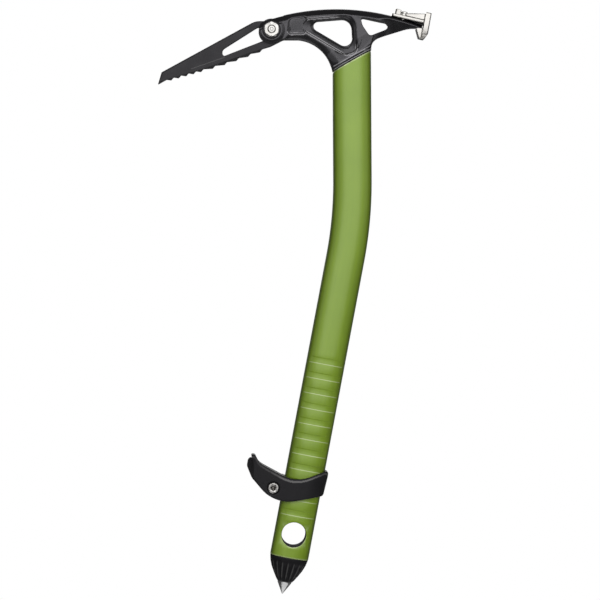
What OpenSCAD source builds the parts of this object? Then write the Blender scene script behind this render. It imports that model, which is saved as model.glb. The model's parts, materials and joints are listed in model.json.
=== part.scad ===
// Ice climbing tool: bent oval shaft, steel head with a bolted toothed pick and a hammer,
// spike ferrule with a clip-in hole, and a sliding pinky rest with a cam clamp.
// The origin is the centre of the clip-in hole. +X is the hammer side, -X the pick side,
// +Z runs up towards the head, and -Y is the face seen with the pick on the left.

/* [Shaft] */
// Width of the oval shaft, front to back
shaft_w = 32.8; // [28:0.2:38]
// Thickness of the oval shaft, side to side
shaft_t = 21.5; // [18:0.5:26]
// Wall of the shaft tube
shaft_wall = 2; // [1.4:0.1:3]
// Clip-in hole centre to the corner of the bend, along the grip
grip_len = 272; // [255:1:300]
// Lean of the grip against the upper shaft
grip_angle = 11; // [4:0.5:16]
// Radius of the bend, on the centre line
bend_r = 345; // [200:5:420]
// Corner of the bend to the head seam, along the upper shaft
upper_len = 133.7; // [115:0.1:170]
// Slope of the seam between shaft and head
seam_angle = 29; // [15:1:35]
// Clip-in hole centre to the lower end of the tube
shaft_tail = 20; // [17:0.5:26]

/* [Grip grooves] */
// Number of grooves on each face of the grip
groove_count = 11; // [1:1:14]
// Spacing of the grooves along the grip
groove_pitch = 13.05; // [9:0.05:15]
// Height of one groove
groove_h = 5; // [2:0.5:8]
// Depth of a groove at the crown of the face
groove_depth = 0.8; // [0.3:0.1:1.2]
// Half of the width over which a groove runs out
groove_reach = 12; // [8:0.5:13]
// Clip-in hole centre to the lowest groove's lower edge
groove_start = 15.8; // [13:0.1:30]

/* [Spike] */
// Diameter of the clip-in hole
clip_d = 20.5; // [16:0.5:21]
// Extra radius of the hole in the tube around the lined hole
clip_rim = 0.3; // [0.1:0.1:0.6]
// Length of the ferrule's nose below the tube
nose_len = 21.3; // [14:0.1:30]
// Radius of the ferrule's nose where the spike comes out
nose_r = 6.2; // [5.4:0.1:8]
// Height of the ferrule's plug above the clip-in hole centre
plug_top = 16; // [13:0.5:24]
// Length of the spike below the ferrule
spike_len = 10.7; // [6:0.1:30]
// Height of the spike's round collar
spike_collar = 2.2; // [1:0.1:4]
// Radius of the spike's tang inside the ferrule
tang_r = 4; // [3:0.1:5]
// Clip-in hole edge to the top of the tang
tang_cover = 2.6; // [1.5:0.1:5]
// Diameter of the pin that locks the tang
spike_pin_d = 2.5; // [1.5:0.5:3]
// How far the pin's ends lie below the plug's faces
spike_pin_sunk = 0.6; // [0.2:0.1:1.5]

/* [Head] */
// Height of the arch under the pick side, above the seam centre
arch_top = 18.6; // [16:0.1:22]
// Radius of the arch under the pick side
arch_r = 32.5; // [29:0.5:40]
// Radius of the top rail
rail_r = 195; // [150:5:260]
// Height of the top rail, above the seam centre
rail_top = 45; // [44:0.1:48]
// Crown of the top rail, ahead of the shaft's axis
rail_fore = 13; // [8:0.5:20]
// Height of the rail as a band along the top edge
rail_h = 6.5; // [4:0.5:8]
// Thickness of the rail
rail_t = 12.6; // [10:0.2:16]
// Thickness of the head's web
web_t = 11; // [9:0.2:14]
// Thickness of the recessed panel round the front window
panel_t = 8.8; // [7:0.2:10]
// Width of the recessed panel round the front window
panel_w = 5.6; // [3:0.1:7]
// Thickness of the floor between the pockets behind the pick
pocket_t = 9.2; // [7:0.2:10]
// Height of the collar lip above the seam
lip_h = 2.2; // [1:0.1:4]
// How far the lip stands proud of the flare above it
lip_step = 0.8; // [0.2:0.1:1.5]
// Height over which the head flares out to the shaft
flare_h = 17; // [12:0.5:24]
// Length of the head's tenon inside the tube
tenon_len = 42; // [25:1:60]
// Seam centre to the pick bolt, along X
bolt_fore = 68.3; // [66:0.1:74]
// Height of the pick bolt above the seam centre
bolt_z = 26.5; // [25:0.1:28]

/* [Pick] */
// Thickness of the pick
pick_t = 4; // [3:0.1:5]
// Pick bolt to the pick's point, along X
pick_reach = 96.4; // [85:0.1:110]
// Drop of the pick's point below the bolt
pick_drop = 45.8; // [40:0.1:50]
// Number of small teeth behind the point
front_teeth = 5; // [2:1:6]
// Number of large teeth behind the small ones
rear_teeth = 5; // [2:1:5]
// Length of the pick's tail between the cheeks, behind the bolt
pick_tail = 24; // [18:0.5:28]
// Diameter of the pick bolt
bolt_d = 6.2; // [5:0.1:8]
// Width of the nut and the bolt head across the flats
nut_af = 11.1; // [10:0.1:12]
// Height of the nut and the bolt head
nut_h = 4.6; // [3:0.1:6]
// Bolt that shows past the nut
bolt_show = 0.8; // [0.2:0.1:2]
// Radius of the round cheeks that hold the pick
cheek_r = 10.8; // [10:0.1:13]
// Thickness over both cheeks
cheek_t = 14; // [12:0.2:18]
// Radius of the washers
washer_r = 7.3; // [6.5:0.1:8]
// Thickness of the washers
washer_t = 1; // [0.6:0.1:1.5]
// Depth of the counterbore that takes a washer
seat_depth = 1.3; // [0.6:0.1:2]

/* [Hammer] */
// Seam centre to the front of the saddle, along X
saddle_x = 34.4; // [32:0.1:38]
// Rise of the saddle above the rail
saddle_rise = 1.8; // [1.2:0.1:2.4]
// Lean of the head's tail below level
tail_angle = 14.5; // [11:0.5:18]
// Thickness of the head's tail
tail_t = 9.6; // [8:0.2:10.8]
// Height of the tail's end
tail_end_h = 3.7; // [3:0.1:4.5]
// Length of the hammer along the tail
hammer_len = 32.2; // [28:0.1:40]
// Width of the striking plate
face_w = 24; // [18:0.5:30]
// Height of the striking plate above the tail's top
face_up = 9.4; // [8:0.1:14]
// Depth of the striking plate below the tail's top
face_down = 11.2; // [8:0.1:15]
// Thickness of the striking plate
face_t = 5; // [4:0.1:8]
// Lean of the striking plate against the tail
face_lean = 4; // [0:0.5:8]
// Chamfer of the striking plate's lower corners
face_chamfer = 1.6; // [0.5:0.1:8]
// Chamfer of the striking plate's upper corners
face_top_chamfer = 0.8; // [0.3:0.1:4]
// Thickness of the saddle that lies on the tail
saddle_t = 2.4; // [1.5:0.1:3.5]
// Width of the saddle at its front end
saddle_w = 11; // [9:0.5:16]
// Front of the saddle to the hammer screw
hammer_screw_p = 10.6; // [9:0.1:12]
// Diameter of the hammer screw
hammer_screw_d = 4; // [3:0.5:5]
// Length of the hammer screw's shank
hammer_screw_len = 9; // [7:0.5:11]
// Diameter of the hammer screw's head
hammer_screw_head = 6.4; // [5.5:0.1:8]
// Height of the hammer screw's head
hammer_screw_head_h = 3.9; // [2.6:0.1:4.5]
// Height of the seat round the hammer screw's head, above the saddle
hammer_seat_h = 2.6; // [1:0.1:3]
// Depth of the hammer screw's head in its seat
hammer_seat_depth = 2.2; // [1:0.1:2.6]
// Height of the stop block in front of the hammer screw, above the saddle
stop_h = 5; // [3:0.1:6]

/* [Pinky rest] */
// Clip-in hole centre to the tension screw, along the grip
rest_s = 35.8; // [30:0.1:150]
// Wall of the collar round the shaft
collar_wall = 3.2; // [2.4:0.1:5]
// Slit between the two arms of the rest
slit_w = 1.6; // [0.8:0.1:3]
// Front of the shaft to the tension screw
screw_out = 8; // [7:0.1:12]
// Tension screw to the nose of the rest
nose_out = 24.2; // [22:0.1:28]
// Half thickness of the rest at its nose
nose_half = 7; // [6.8:0.1:9]
// Diameter of the tension screw
tension_d = 4; // [3:0.5:5]
// Diameter of the tension screw's head
tension_head = 8.7; // [7:0.1:10]
// Height of the tension screw's head
tension_head_h = 3; // [2:0.1:4]
// Radius of the pivot barrel
barrel_r = 2.6; // [2.2:0.1:3]
// Radius of the cam
cam_r = 4.8; // [4.4:0.1:5.6]
// Offset of the cam that gives the clamp its stroke
cam_throw = 0.4; // [0.2:0.1:0.8]
// Width of the lever's hub
hub_w = 15; // [13:0.5:18]
// Thickness of the wear plate under the cam
wear_t = 0.8; // [0.5:0.1:1.5]
// Length of the wear plate across the grip
wear_w = 10; // [8:0.5:12]
// Middle of the rest to the flat under the lever
flat_y = 6.5; // [5.5:0.1:6.6]
// Middle of the rest to the seat of the screw's washer
counterbore_y = 8; // [6.5:0.1:8.5]
// Thickness of the screw's washer
screw_washer_t = 0.8; // [0.5:0.1:1.2]

/* [Fits] */
// Clearance of the collar on the shaft
slide_gap = 0.3; // [0.2:0.05:0.6]
// Clearance of a plug or a tenon inside the tube
plug_gap = 0.1; // [0.05:0.05:0.2]
// Clearance of the pick between the cheeks, each side
pick_gap = 0.1; // [0.05:0.05:0.3]
// Radial clearance of screws and pins in their holes
pin_gap = 0.05; // [0.02:0.01:0.1]
// Radial clearance of screws and washers in plain holes
hole_gap = 0.2; // [0.1:0.05:0.4]
// Clearance between the lever and the collar
lever_gap = 0.4; // [0.3:0.05:0.8]
// Clearance of the cam on the wear plate when shut
cam_gap = 0.1; // [0.05:0.05:0.3]
// Clearance of the tail in the hammer
tail_gap = 0.1; // [0.05:0.05:0.3]

/* [Hidden] */
$fn = 64;
// Smallest overlap that makes a cut clean
eps = 0.5;
// Reach of a cutter that has to clear the whole tool
far = 80;
// Exponent of the shaft's superellipse, and points on it
oval_e = 2.4;
oval_n = 48;

// Shaft: tangent length of the bend and the seam centre
bend_tan = bend_r * tan(grip_angle / 2);
straight_s = grip_len - bend_tan;
// The bend laps into both straight lengths, a hair below their skin, so that they join cleanly
bend_lap = 0.1;
bend_skin = 0.02;
head_x = grip_len * sin(grip_angle);
bend_z = grip_len * cos(grip_angle);
head_z = bend_z + upper_len;
bore_w = shaft_w - 2 * shaft_wall;
bore_t = shaft_t - 2 * shaft_wall;
plug_w = bore_w - 2 * plug_gap;
plug_t = bore_t - 2 * plug_gap;
clip_r = clip_d / 2;

// Grooves: half thickness of the shaft at the groove's run-out, and the radius of its floor
reach_t = shaft_t / 2 * pow(1 - pow(groove_reach / (shaft_w / 2), oval_e), 1 / oval_e);
floor_sag = shaft_t / 2 - groove_depth - reach_t;
floor_r = (pow(groove_reach, 2) + pow(floor_sag, 2)) / (2 * floor_sag);

// Spike: places along the grip
nose_end = -shaft_tail - nose_len;
tip_s = nose_end - spike_len;
tang_top = -clip_r - tang_cover;
spike_pin_s = (tang_top - shaft_tail) / 2 - spike_pin_d / 4;
// Nose of the ferrule: share of its length, of the shaft's width and of the shaft's thickness
nose_slices = [[0, 1, 1], [0.24, 0.935, 0.97], [0.45, 0.83, 0.9], [0.72, 0.63, 0.77], [0.9, 0.48, 0.66]];
nose_skin = 0.1;

// Head: places seen from the seam centre
half_w = shaft_w / 2;
seam_rise = half_w * tan(seam_angle);
rail_c = [-rail_fore, rail_top - rail_r];
arch_cz = arch_top - arch_r;
arch_c = [-half_w - sqrt(pow(arch_r, 2) - pow(seam_rise + arch_cz, 2)), arch_cz];
bolt_c = [-bolt_fore, bolt_z];
// Lower edge behind the shaft: height and radius of its corner
neck_z = 18.2;
neck_r = 10;
// Windows and pocket: corners [x, z, radius]
front_window = [[-41.4, 33, 4], [-0.5, 36.2, 8], [0.9, 8.1, 6.5]];
rear_window = [[7.7, 37.5, 2], [37.8, 30.9, 3.2], [15.2, 21.3, 2.5], [8.7, 30.9, 12]];
pick_pocket = [[-54.1, 23.6, 2.5], [-52.2, 36.4, 3.5], [-39.4, 37.6, 2], [-40.4, 24, 2]];
// Upper edge of the flare, as a multiple of the shaft's width
flare_spread = 2.4;

// Bolt: seat of the washers, stack of the nut, and the pick's eye between the cheeks
seat_y = cheek_t / 2 - seat_depth;
nut_y = seat_y + washer_t;
eye_r = cheek_r - 0.6;
pick_tail_top = 4;
pick_tail_low = 8.2;

// Teeth: the first tip seen from the point, the steps between tips, the rise of a tooth's back
// and the bow of the row
tooth_first = [11.4, 3.7];
front_step = [6.3, 1.75];
rear_step = [10, 3.36];
tooth_rise = [2, 2.5];
tooth_bow = 0.75;
// Steps from the point to the first notch and to the top of the front edge, and from the last tooth
// to the heel
first_notch = [7.5, 4.3];
front_rise = [3.2, 10.5];
heel_step = [9, 4.6];
// Back edge of the pick and its slot, seen from the bolt: corners [x, z, radius]
pick_back = [[pick_tail_top, pick_tail_top, 0], [-6, 8, 0], [-13.5, 8.1, 16]];
pick_hole = [[-41.8, -16.6, 4], [-41.2, -22, 1.6], [0, -6, 0], [0, 5.5, 0], [-12, 2.2, 8]];

// Tail and hammer: the saddle's front, seen from the seam centre, and places along the saddle
tail_c = [saddle_x, rail_c[1] + sqrt(pow(rail_r, 2) - pow(saddle_x + rail_fore, 2)) + saddle_rise];
// Saddle's front edge down to the rail, along the saddle's front face
tail_up = [sin(tail_angle), cos(tail_angle)];
rail_v = tail_c - rail_c;
rail_depth = rail_v * tail_up - sqrt(pow(rail_v * tail_up, 2) - rail_v * rail_v + pow(rail_r, 2));
face_p = hammer_len - face_t;
tail_len = face_p - 0.5;
tail_root_p = 17.5;
tail_root_h = 5.8;
tail_root_r = 30;
// Jaw under the tail: its lip ahead of the striking plate, the foot of its front edge, its lower edge's
// length and how far it hangs below the plate
jaw_len = 4.6;
jaw_foot = 0.3;
jaw_edge = 4.5;
jaw_drop = 1.4;
stop_p = 2.2;
stop_l = 5;
stop_w = 6.4;
// Ridge: its widths at the screw and at the striking plate, along its foot and its top
ridge_h = 2.6;
ridge_edge = 0.4;
ridge_drop = 1.4;
ridge_low = [saddle_w + 2, face_w - 5];
ridge_top = [saddle_w + 0.8, face_w - 6.4];

// Pinky rest: places in the grip's frame, u across and s along
screw_u = -half_w - screw_out;
collar_w = shaft_w + 2 * slide_gap + 2 * collar_wall;
collar_t = shaft_t + 2 * slide_gap + 2 * collar_wall;
cam_y = flat_y + wear_t + cam_gap + cam_r;
tension_seat_y = counterbore_y + screw_washer_t;
tension_washer_r = tension_head / 2 + 0.5;
counterbore_r = tension_washer_r + 0.3;
socket_af = 4;
socket_depth = 1.8;
// Shaft's axis and the back of the collar, seen from the tension screw
axis_u = screw_out + half_w;
back_u = axis_u + half_w + slide_gap + collar_wall;
// The arms start to draw in this far ahead of the shaft's axis
draw_in = 6;
// Side outlines of the rest and of its lever, seen from the screw: corners [u, s, radius]
rest_side = [[0.3 - nose_out, 24.8, 1.2], [4 - nose_out, 24.6, 1.4], [-15.1, 16.8, 14],
    [axis_u - 7.4, 6.4, 30], [back_u, 22.2, 2.5], [back_u - 1.5, 0.8, 2.5], [2, -13.8, 30],
    [-18.9, 5.2, 2.5], [-20, 14.8, 10]];
lever_side = [[4.8, 7.8, 1.5], [-5.6, 10, 14], [-15.6, 14.2, 14], [1 - nose_out, 21.4, 1.2],
    [-1 - nose_out, 18.7, 2], [-1 - nose_out, 13.2, 6], [-19.1, 3.7, 8], [-8.6, -4.8, 12], [4.8, -7.8, 1.5]];
lever_tip_t = 2.2;
lever_mid_t = 4.6;
lever_mid_u = -17;

// Outline helpers

function unit(v) = v / norm(v);
function flat(p) = [p[0], p[1]];

// Superellipse of width w and thickness t
function oval(w, t) = [for (i = [0 : oval_n - 1])
    let (a = i * 360 / oval_n, c = cos(a), s = sin(a))
    [w / 2 * sign(c) * pow(abs(c), 2 / oval_e), t / 2 * sign(s) * pow(abs(s), 2 / oval_e)]];

// Points on an arc round c from angle a0 to a1
function arc(c, r, a0, a1, n) = [for (i = [0 : n])
    c + r * [cos(a0 + (a1 - a0) * i / n), sin(a0 + (a1 - a0) * i / n)]];

// Corner b between a and c, rounded by its third value
function corner(a, b, c) =
    let (p = flat(b), v0 = unit(flat(a) - p), v1 = unit(flat(c) - p))
    let (half = acos(v0 * v1) / 2, r = b[2])
    r == 0 ? [p] :
    let (m = p + unit(v0 + v1) * r / sin(half), t0 = p + v0 * r / tan(half), t1 = p + v1 * r / tan(half))
    let (a0 = atan2(t0[1] - m[1], t0[0] - m[0]), a1 = atan2(t1[1] - m[1], t1[0] - m[0]))
    let (turn = a1 - a0 > 180 ? a1 - a0 - 360 : a1 - a0 < -180 ? a1 - a0 + 360 : a1 - a0)
    arc(m, r, a0, a0 + turn, max(2, ceil(abs(turn) / 9)));

// Outline through corners [x, y, radius]
function rounded(p) = [for (i = [0 : len(p) - 1])
    each corner(p[(i + len(p) - 1) % len(p)], p[i], p[(i + 1) % len(p)])];

// Twice the signed area, positive for a counterclockwise outline
function turn_of(p) = [for (i = [0 : len(p) - 1])
    let (q = p[(i + 1) % len(p)]) p[i][0] * q[1] - q[0] * p[i][1]] * [for (i = [0 : len(p) - 1]) 1];

// Convex outline of corners [x, y, radius] moved outwards by d
function grow(p, d) = [for (i = [0 : len(p) - 1])
    let (a = flat(p[(i + len(p) - 1) % len(p)]), b = flat(p[i]), c = flat(p[(i + 1) % len(p)]))
    let (e0 = unit(b - a), e1 = unit(c - b), k = sign(turn_of(p)))
    let (n0 = k * [e0[1], -e0[0]], n1 = k * [e1[1], -e1[0]])
    let (q = b + (n0 + n1) * d / (1 + n0 * n1))
    [q[0], q[1], p[i][2] + d]];

// Frames

// Lower shaft: X across, Z up along the grip
module on_grip() { rotate([0, grip_angle, 0]) children(); }

// Seam centre on the upper shaft
module at_head() { translate([head_x, 0, head_z]) children(); }

// Pick bolt
module at_bolt() { at_head() translate([bolt_c[0], 0, bolt_c[1]]) children(); }

// Tail of the head: X along the saddle's top edge, Z away from it
module on_tail() { at_head() translate([tail_c[0], 0, tail_c[1]]) rotate([0, tail_angle, 0]) children(); }

// Tension screw of the pinky rest
module at_screw() { on_grip() translate([screw_u, 0, rest_s]) children(); }

// Flat shape in X and Z, t thick about the middle plane
module plate(t) { rotate([90, 0, 0]) linear_extrude(t, center = true) children(); }

// Round bar along Y between two places
module bar_y(r, y0, y1) { translate([0, y1, 0]) rotate([90, 0, 0]) cylinder(r = r, h = y1 - y0); }

// Hexagon with two points up and down
module hexagon(af) { rotate(30) circle(d = af / cos(30), $fn = 6); }

// Both sides of the middle plane
module both_sides() { for (side = [0, 1]) mirror([0, side, 0]) children(); }

// Half space above the seam, as a block
module above_seam(lift) {
    translate([0, 0, lift]) rotate([0, -seam_angle, 0])
        translate([-far, -far, 0]) cube([2 * far, 2 * far, 2 * far]);
}

// Shaft

module shaft_body(w, t, low, high) {
    on_grip() translate([0, 0, -low]) linear_extrude(low + straight_s) polygon(oval(w, t));
    translate([head_x - bend_r, 0, bend_z + bend_tan]) rotate([90, 0, 0]) rotate(bend_lap)
        rotate_extrude(angle = -grip_angle - 2 * bend_lap, $fn = 360) translate([bend_r, 0])
            polygon(oval(w - 2 * bend_skin, t - 2 * bend_skin));
    translate([head_x, 0, bend_z + bend_tan]) linear_extrude(high - bend_tan) polygon(oval(w, t));
}

module groove_cutters() {
    groove_w = 2 * (groove_reach + eps);
    both_sides() difference() {
        for (i = [0 : groove_count - 1])
            translate([-groove_w / 2, reach_t, groove_start + i * groove_pitch])
                cube([groove_w, shaft_t / 2 + eps - reach_t, groove_h]);
        translate([0, shaft_t / 2 - groove_depth - floor_r, 0])
            cylinder(r = floor_r, h = groove_start + groove_count * groove_pitch, $fn = 128);
    }
}

module shaft() {
    color("yellowgreen") difference() {
        shaft_body(shaft_w, shaft_t, shaft_tail, upper_len + seam_rise + eps);
        shaft_body(bore_w, bore_t, shaft_tail + eps, upper_len + seam_rise + 2 * eps);
        at_head() above_seam(0);
        bar_y(clip_r + clip_rim, -shaft_t, shaft_t);
        on_grip() groove_cutters();
    }
}

// Head

// Point of the tail's frame, seen from the seam centre
function tail_point(p, q) = tail_c + p * [tail_up[1], -tail_up[0]] + q * tail_up;

function angle_of(v) = atan2(v[1], v[0]);

module head_outline() {
    nose = bolt_c + [0, cheek_r];
    tail_low = tail_point(tail_len, -saddle_t - tail_end_h);
    root = tail_point(tail_root_p, -saddle_t - tail_root_h);
    neck = [half_w, neck_z];
    seam_front = [-half_w, -seam_rise];
    polygon(concat(
        arc(rail_c, rail_r, angle_of(nose - rail_c), angle_of(rail_v - rail_depth * tail_up), 24),
        [tail_point(0, -saddle_t), tail_point(tail_len, -saddle_t), tail_low],
        corner(tail_low, [root[0], root[1], tail_root_r], neck),
        corner(root, [neck[0], neck[1], neck_r], [half_w, seam_rise]),
        [[half_w, seam_rise]],
        arc(arch_c, arch_r, angle_of(seam_front - arch_c), 90, 14),
        [[bolt_c[0] + cheek_r / 2, arch_top], bolt_c]));
    translate(bolt_c) circle(cheek_r);
}

module rail_band() {
    intersection() {
        head_outline();
        translate(rail_c) difference() {
            circle(rail_r + eps, $fn = 360);
            circle(rail_r - rail_h, $fn = 360);
        }
    }
}

// Slanted slice of an upright oval bar, between two heights above the seam
module seam_slice(w, t, low, high) {
    intersection() {
        translate([0, 0, -far]) linear_extrude(2 * far) polygon(oval(w, t));
        difference() {
            above_seam(low);
            above_seam(high);
        }
    }
}

// Flare from the web down to the lip on the seam
module flare() {
    intersection() {
        hull() {
            seam_slice(shaft_w - lip_step, shaft_t - 2 * lip_step, lip_h / 2, lip_h);
            translate([0, 0, flare_h]) rotate([0, -seam_angle, 0])
                cube([flare_spread * shaft_w, web_t, eps], center = true);
        }
        plate(shaft_t) head_outline();
    }
}

module tenon() {
    difference() {
        translate([0, 0, -tenon_len]) linear_extrude(tenon_len + seam_rise + eps)
            polygon(oval(plug_w, plug_t));
        above_seam(eps);
    }
}

// Space between the cheeks for the pick's tail, seen from the bolt
module pick_slot() {
    translate([-far, -far]) square([far + eye_r + pick_gap, 2 * far]);
    translate([0, -far]) square([pick_tail + pick_gap, far + pick_tail_top + pick_gap]);
}

// Windows, recessed panel and pockets
module head_recesses() {
    plate(2 * far) polygon(rounded(front_window));
    plate(2 * far) polygon(rounded(rear_window));
    both_sides() {
        translate([0, panel_t / 2 + far / 2, 0]) plate(far) difference() {
            polygon(rounded(grow(front_window, panel_w)));
            rail_band();
        }
        translate([0, pocket_t / 2 + far / 2, 0]) plate(far) polygon(rounded(pick_pocket));
    }
}

module head() {
    color("dimgray") difference() {
        at_head() union() {
            plate(web_t) head_outline();
            plate(rail_t) rail_band();
            translate([bolt_c[0], 0, bolt_c[1]]) plate(cheek_t) circle(cheek_r);
            flare();
            seam_slice(shaft_w, shaft_t, 0, lip_h);
            tenon();
        }
        at_head() head_recesses();
        at_bolt() {
            plate(pick_t + 2 * pick_gap) pick_slot();
            bar_y(bolt_d / 2 + pin_gap, -far, far);
            both_sides() bar_y(washer_r + hole_gap, seat_y, far);
        }
        on_tail() {
            both_sides() translate([-eps, tail_t / 2, -far]) cube([far, far, 2 * far]);
            translate([hammer_screw_p, 0, -far / 2]) cylinder(d = hammer_screw_d + 2 * pin_gap, h = far / 2);
        }
    }
}

// Pick

// Tip of tooth k, seen from the bolt
function tooth(k) =
    let (first = [-pick_reach, -pick_drop] + tooth_first, j = max(0, k - front_teeth + 1))
    first + min(k, front_teeth - 1) * front_step + j * rear_step
    - [0, tooth_bow * 4 * j * (rear_teeth - j) / pow(rear_teeth, 2)];

// Corner [x, z, radius] at point p
function corner_at(p, r) = [p[0], p[1], r];

module pick_outline() {
    teeth = front_teeth + rear_teeth;
    point = [-pick_reach, -pick_drop];
    last = tooth(teeth - 1);
    polygon(rounded(concat(
        [corner_at(point, 0.2), corner_at(point + first_notch, 1)],
        [for (k = [0 : teeth - 1])
            each [corner_at(tooth(k), 0.2), corner_at(tooth(k) + tooth_rise, k < front_teeth ? 1 : 0.4)]],
        [corner_at(last + heel_step, 6), [eye_r, -pick_tail_low, 4], [pick_tail, -pick_tail_low, 1],
            [pick_tail, pick_tail_top, 1]],
        pick_back,
        [corner_at(point + front_rise, 1.5)])));
    circle(eye_r);
}

module pick_window() {
    difference() {
        polygon(rounded(pick_hole));
        circle(eye_r);
    }
}

module pick() {
    color("black") at_bolt() difference() {
        plate(pick_t) difference() {
            pick_outline();
            pick_window();
        }
        bar_y(bolt_d / 2 + pin_gap, -far, far);
    }
}

module pick_bolt() {
    color("silver") at_bolt() {
        bar_y(bolt_d / 2, -nut_y - nut_h - bolt_show, nut_y + eps);
        translate([0, nut_y + nut_h / 2, 0]) plate(nut_h) hexagon(nut_af);
    }
}

module pick_nut() {
    color("silver") at_bolt() difference() {
        translate([0, -nut_y - nut_h / 2, 0]) plate(nut_h) hexagon(nut_af);
        bar_y(bolt_d / 2 + pin_gap, -far, far);
    }
}

module pick_washers() {
    color("black") at_bolt() both_sides() difference() {
        bar_y(washer_r, seat_y, nut_y);
        bar_y(bolt_d / 2 + hole_gap, 0, far);
    }
}

// Hammer, with heights measured from the saddle's underside

// Shield outline of the striking plate across the tail
function shield() = let (w = face_w / 2, c = face_chamfer, t = face_top_chamfer)
    [[-w, face_up - t], [-w + t, face_up], [w - t, face_up], [w, face_up - t],
    [w, -face_down + c], [w - c, -face_down], [-w + c, -face_down], [-w, -face_down + c]];

// Saddle from above, wider towards the striking plate
module saddle_plan() {
    back = face_p + face_t / 2;
    flank = [[0, saddle_w / 2], [face_p - face_t, face_w / 2 - 3], [back, face_w / 2 - 1]];
    polygon(concat(flank, [for (i = [2 : -1 : 0]) [flank[i][0], -flank[i][1]]]));
}

// Thin bar across the tail, one end of the ridge
module ridge_bar(p, w, z) { translate([p, 0, z]) cube([ridge_edge, w, ridge_edge], center = true); }

module hammer() {
    ridge_p = hammer_screw_p + 1;
    // underside of the tail, which the jaw follows
    slope = (tail_root_h - tail_end_h) / (tail_len - tail_root_p);
    tail_low = -tail_end_h - tail_gap;
    jaw_back = face_p + face_t / 2;
    jaw_top = tail_low - slope * (jaw_len + tail_len - face_p);
    jaw_foot_p = face_p - jaw_foot;
    jaw_z = -face_down - jaw_drop;
    color("silver") difference() {
        on_tail() translate([0, 0, -saddle_t]) union() {
            linear_extrude(saddle_t) saddle_plan();
            // ridge from the screw up to the striking plate
            hull() {
                ridge_bar(ridge_p, ridge_low[0], saddle_t);
                ridge_bar(face_p, ridge_low[1], saddle_t);
                ridge_bar(ridge_p, ridge_top[0], saddle_t + ridge_h);
                ridge_bar(face_p, ridge_top[1], face_up - ridge_drop);
            }
            translate([stop_p, -stop_w / 2, 0]) cube([stop_l, stop_w, saddle_t + stop_h]);
            translate([hammer_screw_p, 0, 0])
                cylinder(d = hammer_screw_head + 1.6, h = saddle_t + hammer_seat_h);
            // striking plate, and the jaw that hooks under the tail
            translate([face_p, 0, face_up]) rotate([0, -face_lean, 0]) translate([0, 0, -face_up])
                rotate([90, 0, 90]) linear_extrude(face_t) polygon(shield());
            plate(tail_t + 1) polygon([[jaw_back, tail_low], [tail_len, tail_low],
                [face_p - jaw_len, jaw_top], [jaw_foot_p, jaw_z], [jaw_foot_p + jaw_edge, jaw_z],
                [jaw_back + face_t / 2, -face_down]]);
        }
        on_tail() translate([0, 0, -saddle_t]) {
            // room for the tail
            translate([-eps, -tail_t / 2 - tail_gap, tail_low])
                cube([tail_len + eps + tail_gap, tail_t + 2 * tail_gap, -tail_low]);
            translate([hammer_screw_p, 0, -eps]) cylinder(d = hammer_screw_d + 2 * pin_gap, h = far);
            translate([hammer_screw_p, 0, saddle_t + hammer_seat_h - hammer_seat_depth])
                cylinder(d = hammer_screw_head + 2 * hole_gap, h = far);
        }
        // rounded underside of the tail, a gap away from the jaw
        at_head() translate(-2 * tail_gap * [tail_up[0], 0, tail_up[1]])
            plate(tail_t + 2 * tail_gap) head_outline();
    }
}

module hammer_screw() {
    seat = hammer_seat_h - hammer_seat_depth;
    color("gray") on_tail() translate([hammer_screw_p, 0, seat]) difference() {
        union() {
            cylinder(d = hammer_screw_head, h = hammer_screw_head_h);
            translate([0, 0, -hammer_screw_len]) cylinder(d = hammer_screw_d, h = hammer_screw_len + eps);
        }
        translate([0, 0, hammer_screw_head_h - socket_depth]) cylinder(d = socket_af, h = far, $fn = 6);
    }
}

// Spike

module spike_ferrule() {
    color("black") on_grip() difference() {
        union() {
            // nose, from the shaft's oval to the round spike
            hull() {
                for (k = nose_slices)
                    translate([0, 0, -shaft_tail - k[0] * nose_len - nose_skin]) linear_extrude(nose_skin)
                        polygon(oval(k[1] * (shaft_w - 2 * nose_skin), k[2] * (shaft_t - 2 * nose_skin)));
                translate([0, 0, nose_end]) cylinder(r = nose_r, h = nose_skin, $fn = 48);
            }
            // plug inside the tube
            translate([0, 0, -shaft_tail - eps]) linear_extrude(shaft_tail + eps + plug_top)
                polygon(oval(plug_w, plug_t));
        }
        bar_y(clip_r, -shaft_t, shaft_t);
        translate([0, 0, nose_end - eps]) cylinder(r = tang_r + pin_gap, h = tang_top - nose_end + eps);
        translate([0, 0, spike_pin_s]) bar_y(spike_pin_d / 2 + pin_gap, -shaft_t, shaft_t);
    }
}

module spike_tip() {
    collar_r = nose_r - 0.3;
    point_r = 0.25;
    color("silver") on_grip() difference() {
        union() {
            translate([0, 0, nose_end - spike_collar]) cylinder(r = collar_r, h = spike_collar);
            translate([0, 0, nose_end - eps]) cylinder(r = tang_r, h = tang_top - nose_end + eps);
            translate([0, 0, tip_s])
                cylinder(r1 = point_r, r2 = collar_r, h = spike_len - spike_collar + eps / 50, $fn = 6);
        }
        translate([0, 0, spike_pin_s]) bar_y(spike_pin_d / 2 + pin_gap, -shaft_t, shaft_t);
    }
}

module spike_pin() {
    half = plug_t / 2 - spike_pin_sunk;
    color("silver") on_grip() translate([0, 0, spike_pin_s]) bar_y(spike_pin_d / 2, -half, half);
}

// Pinky rest

// Rest seen along the grip, with u measured from the screw
module rest_plan() {
    half = collar_t / 2;
    translate([axis_u, 0]) polygon(oval(collar_w, collar_t));
    polygon(rounded([[axis_u, half, 0], [axis_u - draw_in, half, 20], [-nose_out, nose_half, 6],
        [-nose_out, -nose_half, 6], [axis_u - draw_in, -half, 20], [axis_u, -half, 0]]));
}

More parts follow.
